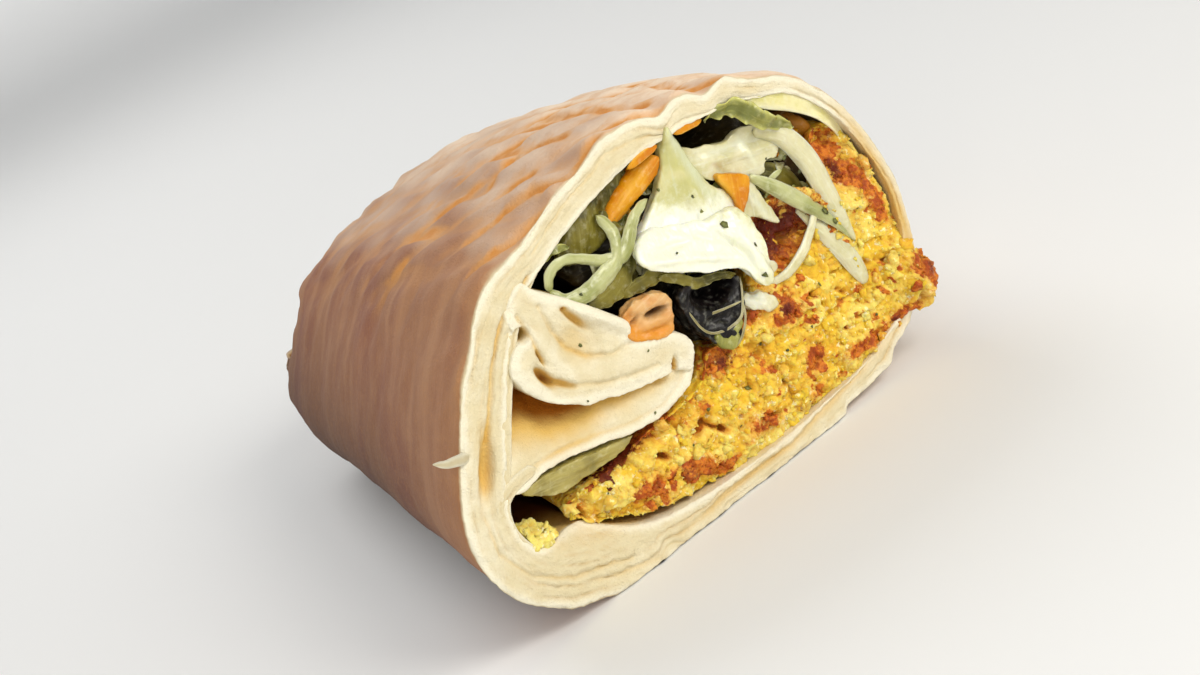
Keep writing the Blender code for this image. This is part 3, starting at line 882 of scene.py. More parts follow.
# the tongue's two lobes: outline, nearest and farthest depth, gaps and lines as in cutSettings, and bumps
# (minus is nearer)
tongueLobes = {
    "tongueUpper": {
        "outline": [(-28.5, 10.4), (-27.2, 7.4), (-25.0, 4.7), (-22.0, 2.7), (-20.0, 1.4), (-17.0, 0.6),
                    (-15.0, -0.3), (-12.0, -0.9), (-8.6, -1.5), (-5.4, -2.0), (-3.6, -3.2), (-2.0, -1.0),
                    (-1.9, 1.2), (-3.8, 3.1), (-8.0, 4.6), (-10.0, 5.8), (-9.5, 8.0), (-11.4, 10.4),
                    (-14.0, 13.2), (-17.0, 16.2), (-20.0, 18.8), (-21.8, 21.0), (-25.4, 18.6), (-25.6, 16.0),
                    (-24.0, 14.4), (-26.2, 14.0), (-28.0, 12.4)],
        "near": -0.3, "far": 26.0,
        "gaps": [((-24.2, 8.1, 0.72, 1.9, 22, 2.6, 1.6), 0.9), ((-22.4, 6.2, 0.5, 2.0, 47, 1.6, 1.4), 0.6),
                 ((-23.55, 10.7, 0.24, 1.0, 5, 1.6, 1.0), 1.0), ((-24.6, 14.8, 0.8, 0.8, 0, 9.0, 2.0), 1.7),
                 ((-16.5, 12.6, 0.5, 2.4, 29, 1.6, 1.4), 0.6), ((-17.8, 9.6, 2.3, 3.2, 35, 0.9, 1.2), 0.16),
                 ((-5.8, -1.3, 0.35, 1.3, -25, 1.8, 1.4), 1.1), ((-17.3, 14.5, 0.3, 0.3, 0, 0.8), 0.9)],
        "lines": [([(-20.9, 5.1), (-17.0, 3.0), (-12.5, 1.5), (-8.0, 0.4)], 0.35, 0.5, 0.2),
                  ([(-20.6, 16.8), (-20.4, 13.0), (-19.4, 9.8), (-17.2, 7.2), (-13.6, 5.4), (-10.4, 5.2)], 0.35,
                   0.6, 0.2),
                  ([(-24.0, 17.2), (-23.5, 14.0), (-23.6, 11.6)], 0.35, 0.5, 0.3)],
        "bumps": [(-26.0, 8.6, 1.2, 4.0, 25, -0.35), (-21.6, 9.6, 1.2, 4.4, 14, -0.35),
                  (-13.6, 2.8, 6.0, 1.6, -22, -0.4), (-13.2, 11.0, 1.1, 5.2, 45, -1.1),
                  (-4.0, 0.6, 2.0, 2.0, 0, -0.3)],
    },
    "tongueLower": {
        "outline": [(-36.8, -1.6), (-34.2, -3.2), (-30.0, -2.9), (-25.0, -3.6), (-20.0, -4.6), (-15.0, -5.7),
                    (-10.0, -6.1), (-5.4, -5.1), (-3.0, -3.2), (-2.6, -1.4), (-4.5, -0.4), (-7.5, -0.7),
                    (-12.0, -0.3), (-15.0, 0.5), (-20.0, 2.4), (-24.0, 5.2), (-26.6, 8.4), (-28.6, 11.6),
                    (-30.8, 8.4), (-33.2, 4.2), (-35.6, 0.6)],
        "near": -0.1, "far": 40.0,
        "gaps": [((-8.2, -2.2, 1.4, 0.5, -12, 0.8, 1.4), 0.3)],
        "lines": [([(-34.0, -1.7), (-30.0, -1.5), (-25.0, -2.2), (-20.0, -3.2), (-15.0, -4.3), (-10.0, -4.8),
                    (-6.4, -4.0), (-4.6, -2.6)], 0.3, 0.25, 0.2)],
        "bumps": [(-5.0, -4.0, 3.0, 2.0, 0, -0.3)],
        # the hollow above it, across: its upper edge, how deep, how golden its painted shade is under the upper lobe,
        # and over how many mm it fades
        "hollow": {
            "high": ([-36.0, -32.0, -28.6, -26.6, -24.0, -20.0, -15.0, -10.0, -6.0],
                     [3.6, 7.6, 10.6, 7.0, 4.0, 1.6, 0.0, -0.9, -1.2]),
            "deep": ([-34.0, -28.6, -24.0, -18.0, -8.0], [4.0, 9.0, 6.0, 3.4, 1.6]),
            "golden": ([-34.0, -31.0, -28.6, -24.0, -18.0, -10.0, -7.0], [0.6, 1.7, 2.8, 1.9, 1.0, 0.8, 0.4]),
            "fade": ([-34.0, -28.6, -24.0, -18.0, -8.0], [3.6, 7.0, 4.4, 2.6, 1.6]),
        },
    },
}


def makeTongueLobe(name, material):
    s = tongueLobes[name]
    lobe = evenSolid(name, s["outline"], s["near"], s["far"], 0.3, 4)
    spots, normals = getPoints(lobe), getNormals(lobe)
    u, v = spots[:, 0].copy(), spots[:, 1].copy()
    front = 1.0 - smoothStep(spots[:, 2], 2.0, 5.0)
    spots[:, 2] = unsqueezed(spots[:, 2])
    inward, along = nearLine(u, v, smoothPath(s["outline"], 120, closed=True)[0][:, :2].tolist())
    faceDeep, faceLines, faceGolden = cutFace(u, v, along, inward, float(len(name)), 1.9, 0.45)
    moved = bumpsAt(u, v, s["bumps"]) + faceDeep
    # painted shade by depth behind the front, and golden painted shade in the face's gaps and lines
    goldAndShade = shadeByDepth(spots[:, 2], 1.6, 16.0) * (1.0 - front) + (faceGolden + goldenCut(u, v)) * front
    for gap, tint in s["gaps"]:
        here = bumpsAt(u, v, [gap])
        moved, goldAndShade = moved + here, goldAndShade + tint * here / gap[5] * front
    for line, wide, low, tint in s["lines"]:
        here = np.exp(-(nearLine(u, v, line)[0] / wide) ** 2)
        moved, goldAndShade = moved + low * here, goldAndShade + tint * here * front
    if "hollow" in s:
        high, deep, golden, fade = (np.interp(u, *s["hollow"][key]) for key in ("high", "deep", "golden", "fade"))
        below = np.maximum(0.0, high - v) / fade
        moved += deep * np.exp(-below ** 1.3)
        # painted shade, golden to brown, in the hollow under the upper lobe
        goldAndShade += golden * np.exp(-(below * 1.25) ** 1.3) * front
    spots[:, 2] += moved * front
    placeSolid(lobe, spots + normals * (0.12 * noiseAt(spots, 2.6, 4.0, 2))[:, None])
    setMask(lobe, "goldAndShade", goldAndShade)
    setMask(lobe, "across", faceLines * front * 0.7)
    # a pale rim, and the palest patches and ridges, partly painted highlight
    setMask(lobe, "edge", (np.exp(-(inward / 1.1) ** 2) + 0.6 * paleAndHighlit(u, v)) * front)
    finishPiece(lobe, material, "tortilla")


# a small flap torn from the cut's lower left edge
tornFlap = {
    "line": [(-38.6, 5.2, 0.5, 2.0, 0), (-40.8, 6.0, -0.2, 1.5, 0), (-42.4, 6.6, -0.5, 1.0, 0),
             (-43.9, 7.6, -0.6, 0.5, 0)],
    "thick": 0.7, "wave": 0.3, "spacing": 0.2, "edgeWidth": 1.0,
}


def makeFlatbread():
    material = makeBreadMaterial()
    makeOuterWall(material)
    print("flatbread wall made")
    for name in tongueSheets:
        makeTongueSheet(name, material)
    for name in tongueLobes:
        makeTongueLobe(name, material)
    makeStrip("tornFlap", material, "tortilla", **tornFlap)
    print("flatbread tongue made")


def clods(points, size, seed):
    # for each point: how far it is from the nearest crack between clods, its clod's own number, its place in the clod
    crack, own, inside = np.empty(len(points)), np.empty(len(points)), np.empty((len(points), 3))
    shift = Vector((seed, seed * 2.0, seed * 3.0))
    for i, point in enumerate(points):
        away, middles = noise.voronoi(Vector(point) / size + shift)
        crack[i] = away[1] - away[0]
        own[i] = middles[0][0] * 12.9898 + middles[0][1] * 78.233 + middles[0][2] * 37.719
        inside[i] = Vector(point) / size + shift - middles[0]
    return crack, np.abs(np.sin(own) * 43758.5453) % 1.0, inside


def baseLumps(count, roundness, seed, flat=1.0, rough=0.35):
    # a few crumb shapes, each one sphere primitive made uneven
    shapes = []
    for k in range(count):
        bpy.ops.object.select_all(action="DESELECT")
        bpy.ops.mesh.primitive_ico_sphere_add(subdivisions=roundness, radius=1.0)
        ball = bpy.context.object
        points = getPoints(ball)
        uneven = 1.0 + rough * noiseAt(points, 0.9, seed + k * 3.1, 2)
        points = points * uneven[:, None] * np.array([1.0, 0.85, 0.7 * flat])
        corners = np.empty(len(ball.data.loops), dtype=np.int32)
        ball.data.loops.foreach_get("vertex_index", corners)
        shapes.append((points, corners.reshape(-1, 3)))
        bpy.data.objects.remove(ball)
    return shapes


def scatter(name, shapes, places, sizes, turns, pick, masks):
    # one mesh of many copies of the shapes
    points, faces, values, start = [], [], {key: [] for key in masks}, 0
    for i, place in enumerate(places):
        base, corners = shapes[pick[i]]
        points.append((base * sizes[i]) @ turns[i].T + place)
        faces.append(corners + start)
        start += len(base)
        for key, given in masks.items():
            values[key].append(np.full(len(base), given[i]))
    mesh = bpy.data.meshes.new(name)
    mesh.from_pydata(np.concatenate(points).tolist(), [], np.concatenate(faces).tolist())
    made = bpy.data.objects.new(name, mesh)
    bpy.context.scene.collection.objects.link(made)
    for key, given in values.items():
        setMask(made, key, np.concatenate(given))
    return made


def randomTurns(rng, count):
    turns = []
    for q in rng.normal(size=(count, 4)):
        w, x, y, z = q / np.linalg.norm(q)
        turns.append(np.array([[1 - 2 * (y * y + z * z), 2 * (x * y - z * w), 2 * (x * z + y * w)],
                               [2 * (x * y + z * w), 1 - 2 * (x * x + z * z), 2 * (y * z - x * w)],
                               [2 * (x * z - y * w), 2 * (y * z + x * w), 1 - 2 * (x * x + y * y)]]))
    return turns


falafelSettings = {
    "outline": [
        (-29.0, -9.6), (-26.4, -13.8), (-18.0, -17.0), (-8.0, -19.4), (2.0, -20.2), (14.0, -19.9),
        (26.0, -18.5), (34.8, -15.8), (39.2, -9.2), (39.6, -1.0), (38.4, 7.0), (35.6, 14.4), (31.6, 14.4),
        (30.4, 9.0), (28.6, 7.0), (24.0, 9.4), (15.0, 9.6), (12.4, 3.0), (9.0, -1.0), (5.0, -3.6), (0.4, -2.4),
        (-3.0, -5.6), (-11.0, -7.2), (-18.0, -8.0), (-24.0, -8.2),
    ],
    "near": 0.4, "far": 98.0, "voxel": 0.29,
    # where the front stands nearer (minus) or farther behind the cut
    "front": [(39.0, -12.5, 5.0, 4.5, 0, -4.6), (19.5, 5.5, 7.0, 4.6, 0, 4.4), (33.5, 12.5, 4.0, 4.4, 0, 3.2),
              (0.0, -19.6, 34.0, 1.6, 0, 1.4), (40.0, 0.0, 1.6, 9.0, 0, 1.2),
              (-25.0, -14.5, 7.0, 2.4, -30, 1.8), (-30.0, -9.0, 4.0, 4.0, 0, 2.2),
              (10.0, -9.0, 16.0, 5.0, 0, -0.7), (-12.0, -8.0, 8.0, 1.2, 0, 1.8)],
    # browned crust: across, up, half width, half height, turn, amount
    "crust": [(-16.5, -15.0, 3.4, 2.6, -30, 1.3), (-8.0, -16.2, 3.4, 1.7, -32, 1.3),
              (4.5, -16.4, 3.4, 1.6, -8, 1.15), (16.8, -13.4, 3.0, 2.2, 25, 1.15),
              (25.5, -16.4, 4.2, 1.1, -4, 1.2), (34.0, -16.0, 3.6, 1.3, 0, 1.2),
              (40.5, -12.5, 2.0, 3.6, 10, 1.25), (38.8, -10.6, 3.0, 1.3, -40, 1.0),
              (14.8, -4.4, 2.6, 2.1, 0, 1.45), (1.0, -4.4, 3.4, 2.2, -25, 1.25), (8.2, -1.8, 3.4, 1.6, 0, 1.25),
              (37.2, 1.0, 1.4, 5.0, 10, 1.2), (34.6, 6.8, 3.0, 2.4, -35, 0.85), (33.0, 12.2, 3.0, 3.0, 0, 1.1),
              (19.0, 5.0, 7.5, 4.4, 0, 1.6), (6.8, -7.4, 1.8, 1.2, -20, 0.9), (-4.0, -9.2, 1.8, 1.2, 10, 0.9),
              (-19.0, -7.9, 6.0, 0.8, 0, 1.2), (-11.5, -6.9, 3.0, 1.0, 8, 1.0), (28.6, -8.2, 0.9, 0.9, 0, 0.8),
              (-4.0, -18.4, 2.0, 0.9, 0, 0.9), (14.5, -18.0, 1.6, 1.1, 0, 0.9), (8.0, -10.4, 1.3, 0.9, 0, 0.7),
              (-25.5, -13.0, 1.4, 0.8, -40, 0.7)],
    # crust fried darkest
    "dark": [(14.8, -4.2, 1.3, 1.0, 0, 1.0), (19.0, 5.4, 8.0, 4.0, 0, 1.0), (32.4, 8.4, 1.6, 1.8, 0, 0.8),
             (1.5, -5.0, 2.2, 1.2, -30, 0.7), (-11.6, -14.9, 1.4, 0.9, -30, 0.9),
             (-19.0, -7.9, 6.0, 0.7, 0, 0.8), (31.8, -16.0, 1.4, 0.8, 0, 0.7), (40.6, -11.8, 1.2, 1.6, 0, 0.6),
             (-8.0, -17.6, 2.0, 0.6, -32, 0.6), (17.4, -13.6, 1.2, 0.8, 0, 0.5)],
    # open cracks
    "cracks": [(-19.0, -8.4, 5.5, 0.7, 0, 1.6), (-13.0, -11.4, 1.9, 0.45, -35, 1.6),
               (-5.6, -11.2, 1.6, 0.5, 20, 1.6), (-3.2, -12.8, 2.4, 0.45, -45, 1.5),
               (3.0, -13.4, 2.2, 0.35, 6, 1.2), (11.0, -13.4, 1.6, 0.4, 10, 1.2),
               (-27.5, -11.0, 1.2, 2.0, 20, 1.2), (20.0, -5.2, 1.4, 0.35, -10, 1.0),
               (25.5, -7.6, 1.6, 0.4, -40, 1.0), (5.5, -5.2, 1.8, 0.45, -20, 1.1),
               (23.5, -12.6, 1.4, 0.35, -35, 1.0), (34.0, -7.4, 2.6, 0.4, -25, 1.0)],
    # clods: size, step between neighbours, tilt, crack depth; largest first
    "clods": [(5.4, 1.1, 0.12, 0.45), (2.3, 0.55, 0.18, 0.34), (0.95, 0.34, 0.24, 0.18)],
    "yellow": paint(236, 196, 58), "paleYellow": paint(242, 222, 120), "ochre": paint(216, 158, 44),
    "cream": paint(250, 240, 184), "toasted": paint(220, 146, 44), "crustLight": paint(214, 126, 38),
    # the last colour on the next line is painted shade for the low hollows between the clods
    "crustDark": paint(164, 74, 26), "crustDarkest": paint(100, 34, 16), "pitShade": paint(190, 124, 30),
    "roughness": (0.7, 0.26),      # the crumb's, and how much smoother the crust is
    "finish": {"Specular IOR Level": 0.2, "Subsurface Weight": 0.5, "Subsurface Radius": (1.0, 0.75, 0.25),
               "Subsurface Scale": 1.4 * mm},
}

# separate lumps; dome is (across, up, how fast it falls back each way)
falafelLumps = {
    "falafelBulge": {
        "outline": [(34.0, -8.6), (36.6, -7.4), (39.2, -8.2), (41.0, -10.0), (41.8, -12.8), (40.8, -15.8),
                    (38.4, -17.0), (35.4, -17.0), (32.8, -16.0), (32.4, -12.0)],
        "near": -2.6, "far": 3.0, "dome": (38.0, -12.4, 0.10, 0.06),
    },
    "falafelFallenCrumb": {
        "outline": [(-36.8, -8.0), (-35.4, -7.6), (-33.8, -8.6), (-32.4, -10.4), (-32.8, -11.6), (-34.4, -11.8),
                    (-36.4, -10.8)],
        "near": 0.2, "far": 3.2, "dome": (-34.6, -10.2, 0.10, 0.14),
        "slot": "falafel_crumb", "nodes": ["falafel_crumb"], "scale": 0.8, "crustShare": 0.1, "pale": 0.9,
    },
}

# loose pieces broken off the front: how many, sizes, how far they stand out, and their kinds, roundness,
# seed and unevenness
falafelLoose = {
    "falafelClods": {"count": 90, "sizes": (0.6, 1.3), "out": 0.0, "shapes": (7, 2, 4.0), "rough": 0.8,
                     "smooth": True},
    "falafelCrumbs": {"count": 900, "sizes": (0.15, 0.55), "out": 0.1, "shapes": (8, 1, 9.0), "rough": 0.9,
                      "smooth": False},
}


def makeFalafelMaterial():
    s = falafelSettings
    material, tree, shader = newMaterial("falafel", s["finish"])
    crumb, crumbMask = grain(tree, 0.5, 0.48, 0.66, roughness=0.68)
    flecks = grain(tree, 0.9, 0.60, 0.68, 2.0, shift=(7.0, 2.0, 5.0))[1]
    patches = grain(tree, 2.4, 0.44, 0.66, roughness=0.6)[1]
    dark = plus(tree, maskNode(tree, "dark"), swing(tree, crumb))
    crust = paintOver(tree, s["crustLight"],
                      (grain(tree, 1.1, 0.38, 0.60, 3.0, 0.65)[1], s["crustDark"]),
                      (ramp(tree, dark, 0.2, 0.8), s["crustDarkest"]))
    amount = plus(tree, maskNode(tree, "crust"), swing(tree, crumb, 0.8))
    colour = paintOver(tree, s["yellow"],
                       (ramp(tree, maskNode(tree, "tone"), 0.25, 0.85), s["paleYellow"]),
                       (times(tree, patches, 0.45), s["ochre"]),
                       (times(tree, crumbMask, 0.3), s["ochre"]),
                       (times(tree, flecks, 0.8), s["cream"]),
                       (times(tree, ramp(tree, amount, 0.1, 0.5), 0.5), s["toasted"]),
                       (ramp(tree, amount, 0.46, 0.74), crust),
                       # painted shade in the low hollows between the clods
                       (times(tree, maskNode(tree, "pitShade"), 0.5), s["pitShade"]))
    tree.links.new(colour, shader.inputs["Base Color"])
    height = plus(tree, crumb, times(tree, grain(tree, 0.2, detail=2.0)[0], 0.45))
    tree.links.new(bump(tree, height, 0.3, 0.6), shader.inputs["Normal"])
    gloss = reckon(tree, "SUBTRACT", s["roughness"][0], times(tree, maskNode(tree, "crust"), s["roughness"][1]))
    tree.links.new(gloss, shader.inputs["Roughness"])
    return material


def crumble(spots, scale=1.0):
    # broken falafel: clods of three sizes, each with its own height, tilt and tone, and cracks between them
    bent = spots + 0.5 * np.stack([noiseAt(spots, 1.6, k) for k in (41.0, 43.0, 47.0)], axis=1)
    rise, tone = np.zeros(len(spots)), np.zeros(len(spots))
    for k, (size, step, tilt, deep) in enumerate(falafelSettings["clods"]):
        crack, own, inside = clods(bent, size * scale, 1.0 + 6.0 * k)
        lean = np.stack([np.sin(own * 91.0), np.sin(own * 57.0 + 1.0), np.sin(own * 33.0 + 2.0)], axis=1)
        rise += step * (own - 0.55) + tilt * size * np.sum(inside * lean, axis=1) - deep * np.exp(-crack / 0.07)
        tone += own * (0.5, 0.3, 0.2)[k]
    return rise + 0.3 * noiseAt(spots, 1.0, 3.0, 3), tone


def crustAt(spots, tone):
    # browned crust: ragged patches, and specks of it broken all through the crumb
    torn = noiseAt(spots, 1.5, 71.0, 3)
    specks = smoothStep(noiseAt(spots, 1.5, 83.0, 2), 0.26, 0.42) * smoothStep(noiseAt(spots, 6.0, 87.0), -0.25, 0.25)
    patches = bumpsAt(spots[:, 0], spots[:, 1], falafelSettings["crust"])
    uneven = 0.35 * (tone - 0.5) * np.minimum(patches * 3.0, 1.0)
    return np.clip(patches * (1.0 + 0.9 * torn) + uneven + 0.8 * specks, 0.0, 1.3)


def makeFalafelLump(name, material, outline, near, far, dome, slot="falafel", nodes=(), scale=1.0,
                    crustShare=1.0, pale=0.0):
    lump = evenSolid(name, outline, near, far, falafelSettings["voxel"])
    spots, normals = getPoints(lump), getNormals(lump)
    rise, tone = crumble(spots, scale)
    u, v = spots[:, 0].copy(), spots[:, 1].copy()
    spots[:, 2] += dome[2] * (u - dome[0]) ** 2 + dome[3] * (v - dome[1]) ** 2
    rise = np.clip(rise, -1.8, 1.3)
    placeSolid(lump, spots + normals * rise[:, None])
    setMask(lump, "crust", crustAt(spots, tone) * crustShare)
    setMask(lump, "dark", np.clip(bumpsAt(u, v, falafelSettings["dark"]) * crustShare, 0.0, 1.0))
    setMask(lump, "tone", np.clip(tone + pale, 0.0, 1.0))
    # painted shade where the surface sinks
    setMask(lump, "pitShade", smoothStep(-rise, 0.5, 1.5) * (1.0 - pale))
    return finishPiece(lump, material, slot, *nodes)


def makeFalafel():
    s = falafelSettings
    material = makeFalafelMaterial()
    mass = evenSolid("falafelMass", s["outline"], s["near"], s["far"], s["voxel"])
    spots, normals = getPoints(mass), getNormals(mass)
    rise, tone = crumble(spots)
    front = 1.0 - smoothStep(spots[:, 2], 4.0, 8.5)
    opened = bumpsAt(spots[:, 0], spots[:, 1], s["cracks"])
    opened = np.clip(opened * (0.8 + 1.2 * noiseAt(spots, 1.2, 97.0, 2)), 0.0, 1.6)
    rise -= 1.5 * opened
    towardFront = np.clip(-normals[:, 2], 0.0, 1.0)
    rise = np.clip(rise, -3.0, 1.5) * (0.35 + 0.65 * towardFront)
    spots[:, 2] = unsqueezed(spots[:, 2])
    moved = spots + normals * rise[:, None] * (0.25 + 0.75 * front)[:, None]
    moved[:, 2] += bumpsAt(spots[:, 0], spots[:, 1], s["front"]) * (1.0 - smoothStep(spots[:, 2], 2.0, 9.0))
    crust = np.maximum(crustAt(spots, tone), 0.85 * opened)
    dark = np.clip(bumpsAt(spots[:, 0], spots[:, 1], s["dark"]) + 0.55 * smoothStep(opened, 0.3, 1.0), 0.0, 1.0)
    placeSolid(mass, moved)
    setMask(mass, "crust", crust)
    setMask(mass, "dark", dark)
    setMask(mass, "tone", np.clip(tone, 0.0, 1.0))
    # painted shade where the surface sinks, near the front
    setMask(mass, "pitShade", smoothStep(-rise, 0.5, 1.8) * front)
    finishPiece(mass, material, "falafel", "falafel")
    print("falafel mass made")
    for name, more in falafelLumps.items():
        makeFalafelLump(name, material, **more)
    print("falafel lumps made")
    rng = np.random.default_rng(5)
    world, outward = getPoints(mass), getNormals(mass)
    showing = np.where((moved[:, 2] < 4.5) & (normals[:, 2] < -0.3))[0]
    for name, more in falafelLoose.items():
        count, (low, high) = more["count"], more["sizes"]
        shapes = baseLumps(*more["shapes"], rough=more["rough"])
        chosen = rng.choice(showing, count, replace=False)
        size = low + (high - low) * rng.random(count) ** 2.2
        places = world[chosen] + outward[chosen] * (size * more["out"] * mm)[:, None]
        loose = scatter(name, shapes, places, size * mm, randomTurns(rng, count), rng.integers(0, len(shapes), count),
                        {"crust": crust[chosen] * (0.8 + 0.4 * rng.random(count)), "dark": dark[chosen],
                         "tone": rng.random(count), "pitShade": np.zeros(count)})
        finishPiece(loose, material, "falafel", smooth=more["smooth"])
    print("falafel crumbs made")


# each leaf and shred: face, second tone, edge or vein, roughness, glow
leafKinds = {
    "cabbage": (paint(210, 204, 148), paint(194, 190, 122), paint(206, 210, 174), 0.24, 0.45),
    "whiteCabbage": (paint(214, 208, 168), paint(198, 192, 142), paint(224, 226, 202), 0.24, 0.45),
    "paleLettuce": (paint(184, 186, 128), paint(150, 154, 88), paint(206, 208, 164), 0.26, 0.25),
    "lettuce": (paint(150, 148, 64), paint(108, 112, 38), paint(196, 194, 106), 0.28, 0.3),
    "lining": (paint(232, 222, 168), paint(214, 206, 124), paint(238, 232, 190), 0.32, 0.3),
    "oliveLeaf": (paint(122, 112, 40), paint(72, 68, 22), paint(156, 150, 84), 0.30, 0.15),
    "darkLeaf": (paint(12, 7, 8), paint(4, 2, 2), paint(46, 36, 32), 0.34, 0.0),
    "vein": (paint(168, 160, 118), paint(128, 118, 72), paint(204, 198, 168), 0.30, 0.2),
    "carrot": (paint(216, 146, 6), paint(200, 118, 6), paint(228, 176, 60), 0.34, 0.15),
    "peach": (paint(214, 170, 112), paint(204, 136, 66), paint(232, 204, 160), 0.36, 0.2),
    "underLeaf": (paint(168, 154, 80), paint(130, 118, 54), paint(200, 190, 128), 0.30, 0.25),
    # saladShade on the next line is painted shade: the colour of the dark piece that stands for the shade deep in the
    # heap
    "saladShade": (paint(48, 38, 14), paint(16, 11, 6), paint(72, 62, 26), 0.5, 0.0),
}
leafSettings = {
    # on the next line: the first colour is for orange stains and for a golden patch of painted shade on the salad's
    # dark core; the last is painted shade for hollows
    "orangeStainAndShade": paint(218, 142, 34), "sauce": paint(238, 239, 218), "hollow": paint(70, 36, 12),
    "veinSize": 0.55,
    "wetFrom": 0.22,           # a leaf that glows more than this is wet
    "wet": {"Specular IOR Level": 0.5, "Coat Weight": 0.3},
    "dull": {"Specular IOR Level": 0.25, "Coat Weight": 0.06},
    "finish": {"Coat Roughness": 0.14},
    "glow": {"Subsurface Radius": (1.0, 0.9, 0.4), "Subsurface Scale": 1.2 * mm},
}


def makeLeafGroup():
    # the skin of a leaf or a shred: blotches, veins along the piece, a paler edge, stains and sauce, and painted
    # shade in hollows and on the salad's dark core; and its height
    s = leafSettings
    group, given, out = newGroup(
        "leafSkin", [("Face", "Color"), ("Second", "Color"), ("Edge", "Color"), ("Veins", "Float", 0.5)],
        [("Colour", "Color"), ("Height", "Float")])
    face, second, edge = given["Face"], given["Second"], given["Edge"]
    across = reckon(group, "DIVIDE", maskNode(group, "fibreAcross"), given["Veins"])
    along = times(group, maskNode(group, "fibreAlong"), 0.16)
    spot = addNode(group, "ShaderNodeCombineXYZ", {"X": across, "Y": along}).outputs[0]
    veins = addNode(group, "ShaderNodeTexNoise", {"Vector": spot, "Scale": 1.0, "Detail": 3.0,
                                                  "Roughness": 0.6}).outputs["Fac"]
    fibres, fibreMask = grain(group, 1.0, 0.52, 0.70)
    fine = grain(group, 0.35, detail=2.0, roughness=0.6)[0]
    sauce = plus(group, maskNode(group, "sauce"), swing(group, fibres))
    colour = paintOver(group, face,
                       (grain(group, 4.5, 0.40, 0.64, shift=(2.0, 5.0, 1.0))[1], second),
                       (times(group, ramp(group, veins, 0.50, 0.68), 0.35), edge),
                       (times(group, ramp(group, veins, 0.50, 0.34), 0.2), second),
                       (times(group, fibreMask, 0.2), edge),
                       (maskNode(group, "edge"), edge),
                       # stains, and a golden patch of painted shade on the salad's dark core
                       (times(group, maskNode(group, "stainAndShade"), 0.9), s["orangeStainAndShade"]),
                       (ramp(group, sauce, 0.0, 1.0), s["sauce"]),
                       # painted shade in hollows
                       (maskNode(group, "hollow"), s["hollow"]))
    group.links.new(colour, out["Colour"])
    height = plus(group, times(group, veins, 0.7), plus(group, times(group, fibres, 0.6), times(group, fine, 0.3)))
    group.links.new(height, out["Height"])
    return group


def makeLeafMaterial(name):
    s = leafSettings
    face, second, edge, roughness, glow = leafKinds[name]
    finish = {"Roughness": roughness, **s["finish"], **(s["wet"] if glow > s["wetFrom"] else s["dull"])}
    if glow:
        finish |= {"Subsurface Weight": glow, **s["glow"]}
    material, tree, shader = newMaterial(name, finish)
    skin = placeGroup(tree, bpy.data.node_groups.get("leafSkin") or makeLeafGroup(), Face=(*face, 1.0),
                      Second=(*second, 1.0), Edge=(*edge, 1.0), Veins=s["veinSize"])
    tree.links.new(skin["Colour"], shader.inputs["Base Color"])
    tree.links.new(bump(tree, skin["Height"], 0.3, 0.55), shader.inputs["Normal"])
    return material


def fibreMasks(made, u, v, turn):
    # where each point is across and along a leaf's veins; turn is the veins' direction
    turn = math.radians(turn)
    setMask(made, "fibreAlong", u * math.cos(turn) + v * math.sin(turn))
    setMask(made, "fibreAcross", -u * math.sin(turn) + v * math.cos(turn))


def makeSlab(name, material, slot, outline, near, thick, nodes=(), bumps=(), tilt=(0.0, 0.0), wave=0.3,
             seed=1.0, voxel=0.3, smooth=2, edges=(), stainAndShade=(), sauce=(), far=None, veins=70.0, ridges=(),
             hollows=(), crinkle=0.10):
    # a flat piece with a modelled front: bumps minus is nearer; tilt is depth per mm across and up; a ridge is
    # a line, how fast it falls back on its left and right, and how far; far is for a piece that runs on into
    # the wrap
    made = evenSolid(name, outline, near, far if far else near + thick, voxel, smooth)
    spots, normals = getPoints(made), getNormals(made)
    u, v = spots[:, 0].copy(), spots[:, 1].copy()
    middle = np.mean(np.array(outline), axis=0)
    front = 1.0 if not far else 1.0 - smoothStep(spots[:, 2], near + 1.0, near + 6.0)
    spots[:, 2] = unsqueezed(spots[:, 2])
    spots[:, 2] += (bumpsAt(u, v, bumps) + tilt[0] * (u - middle[0]) + tilt[1] * (v - middle[1])) * front
    for line, left, rightSide, reach in ridges:
        away = nearLine(u, v, line)[0]
        (a, b), (c, d) = line[0], line[-1]
        onLeft = (c - a) * (v - b) - (d - b) * (u - a) < 0
        spots[:, 2] += np.where(onLeft, left, rightSide) * np.minimum(away, reach) * front
    spots[:, 2] += bumpsAt(u, v, hollows) * front
    uneven = wave * noiseAt(spots, 3.2, seed, 2) + crinkle * noiseAt(spots, 0.9, seed + 4.0)
    placeSolid(made, spots + normals * uneven[:, None])
    # painted shade in the hollows
    setMask(made, "hollow", np.clip(bumpsAt(u, v, hollows) / 2.0, 0.0, 1.0))
    for mask, spread in (("edge", edges), ("stainAndShade", stainAndShade), ("sauce", sauce)):
        setMask(made, mask, np.clip(bumpsAt(u, v, spread), 0.0, 1.0))
    fibreMasks(made, u, v, veins)
    return finishPiece(made, material, slot, *nodes)


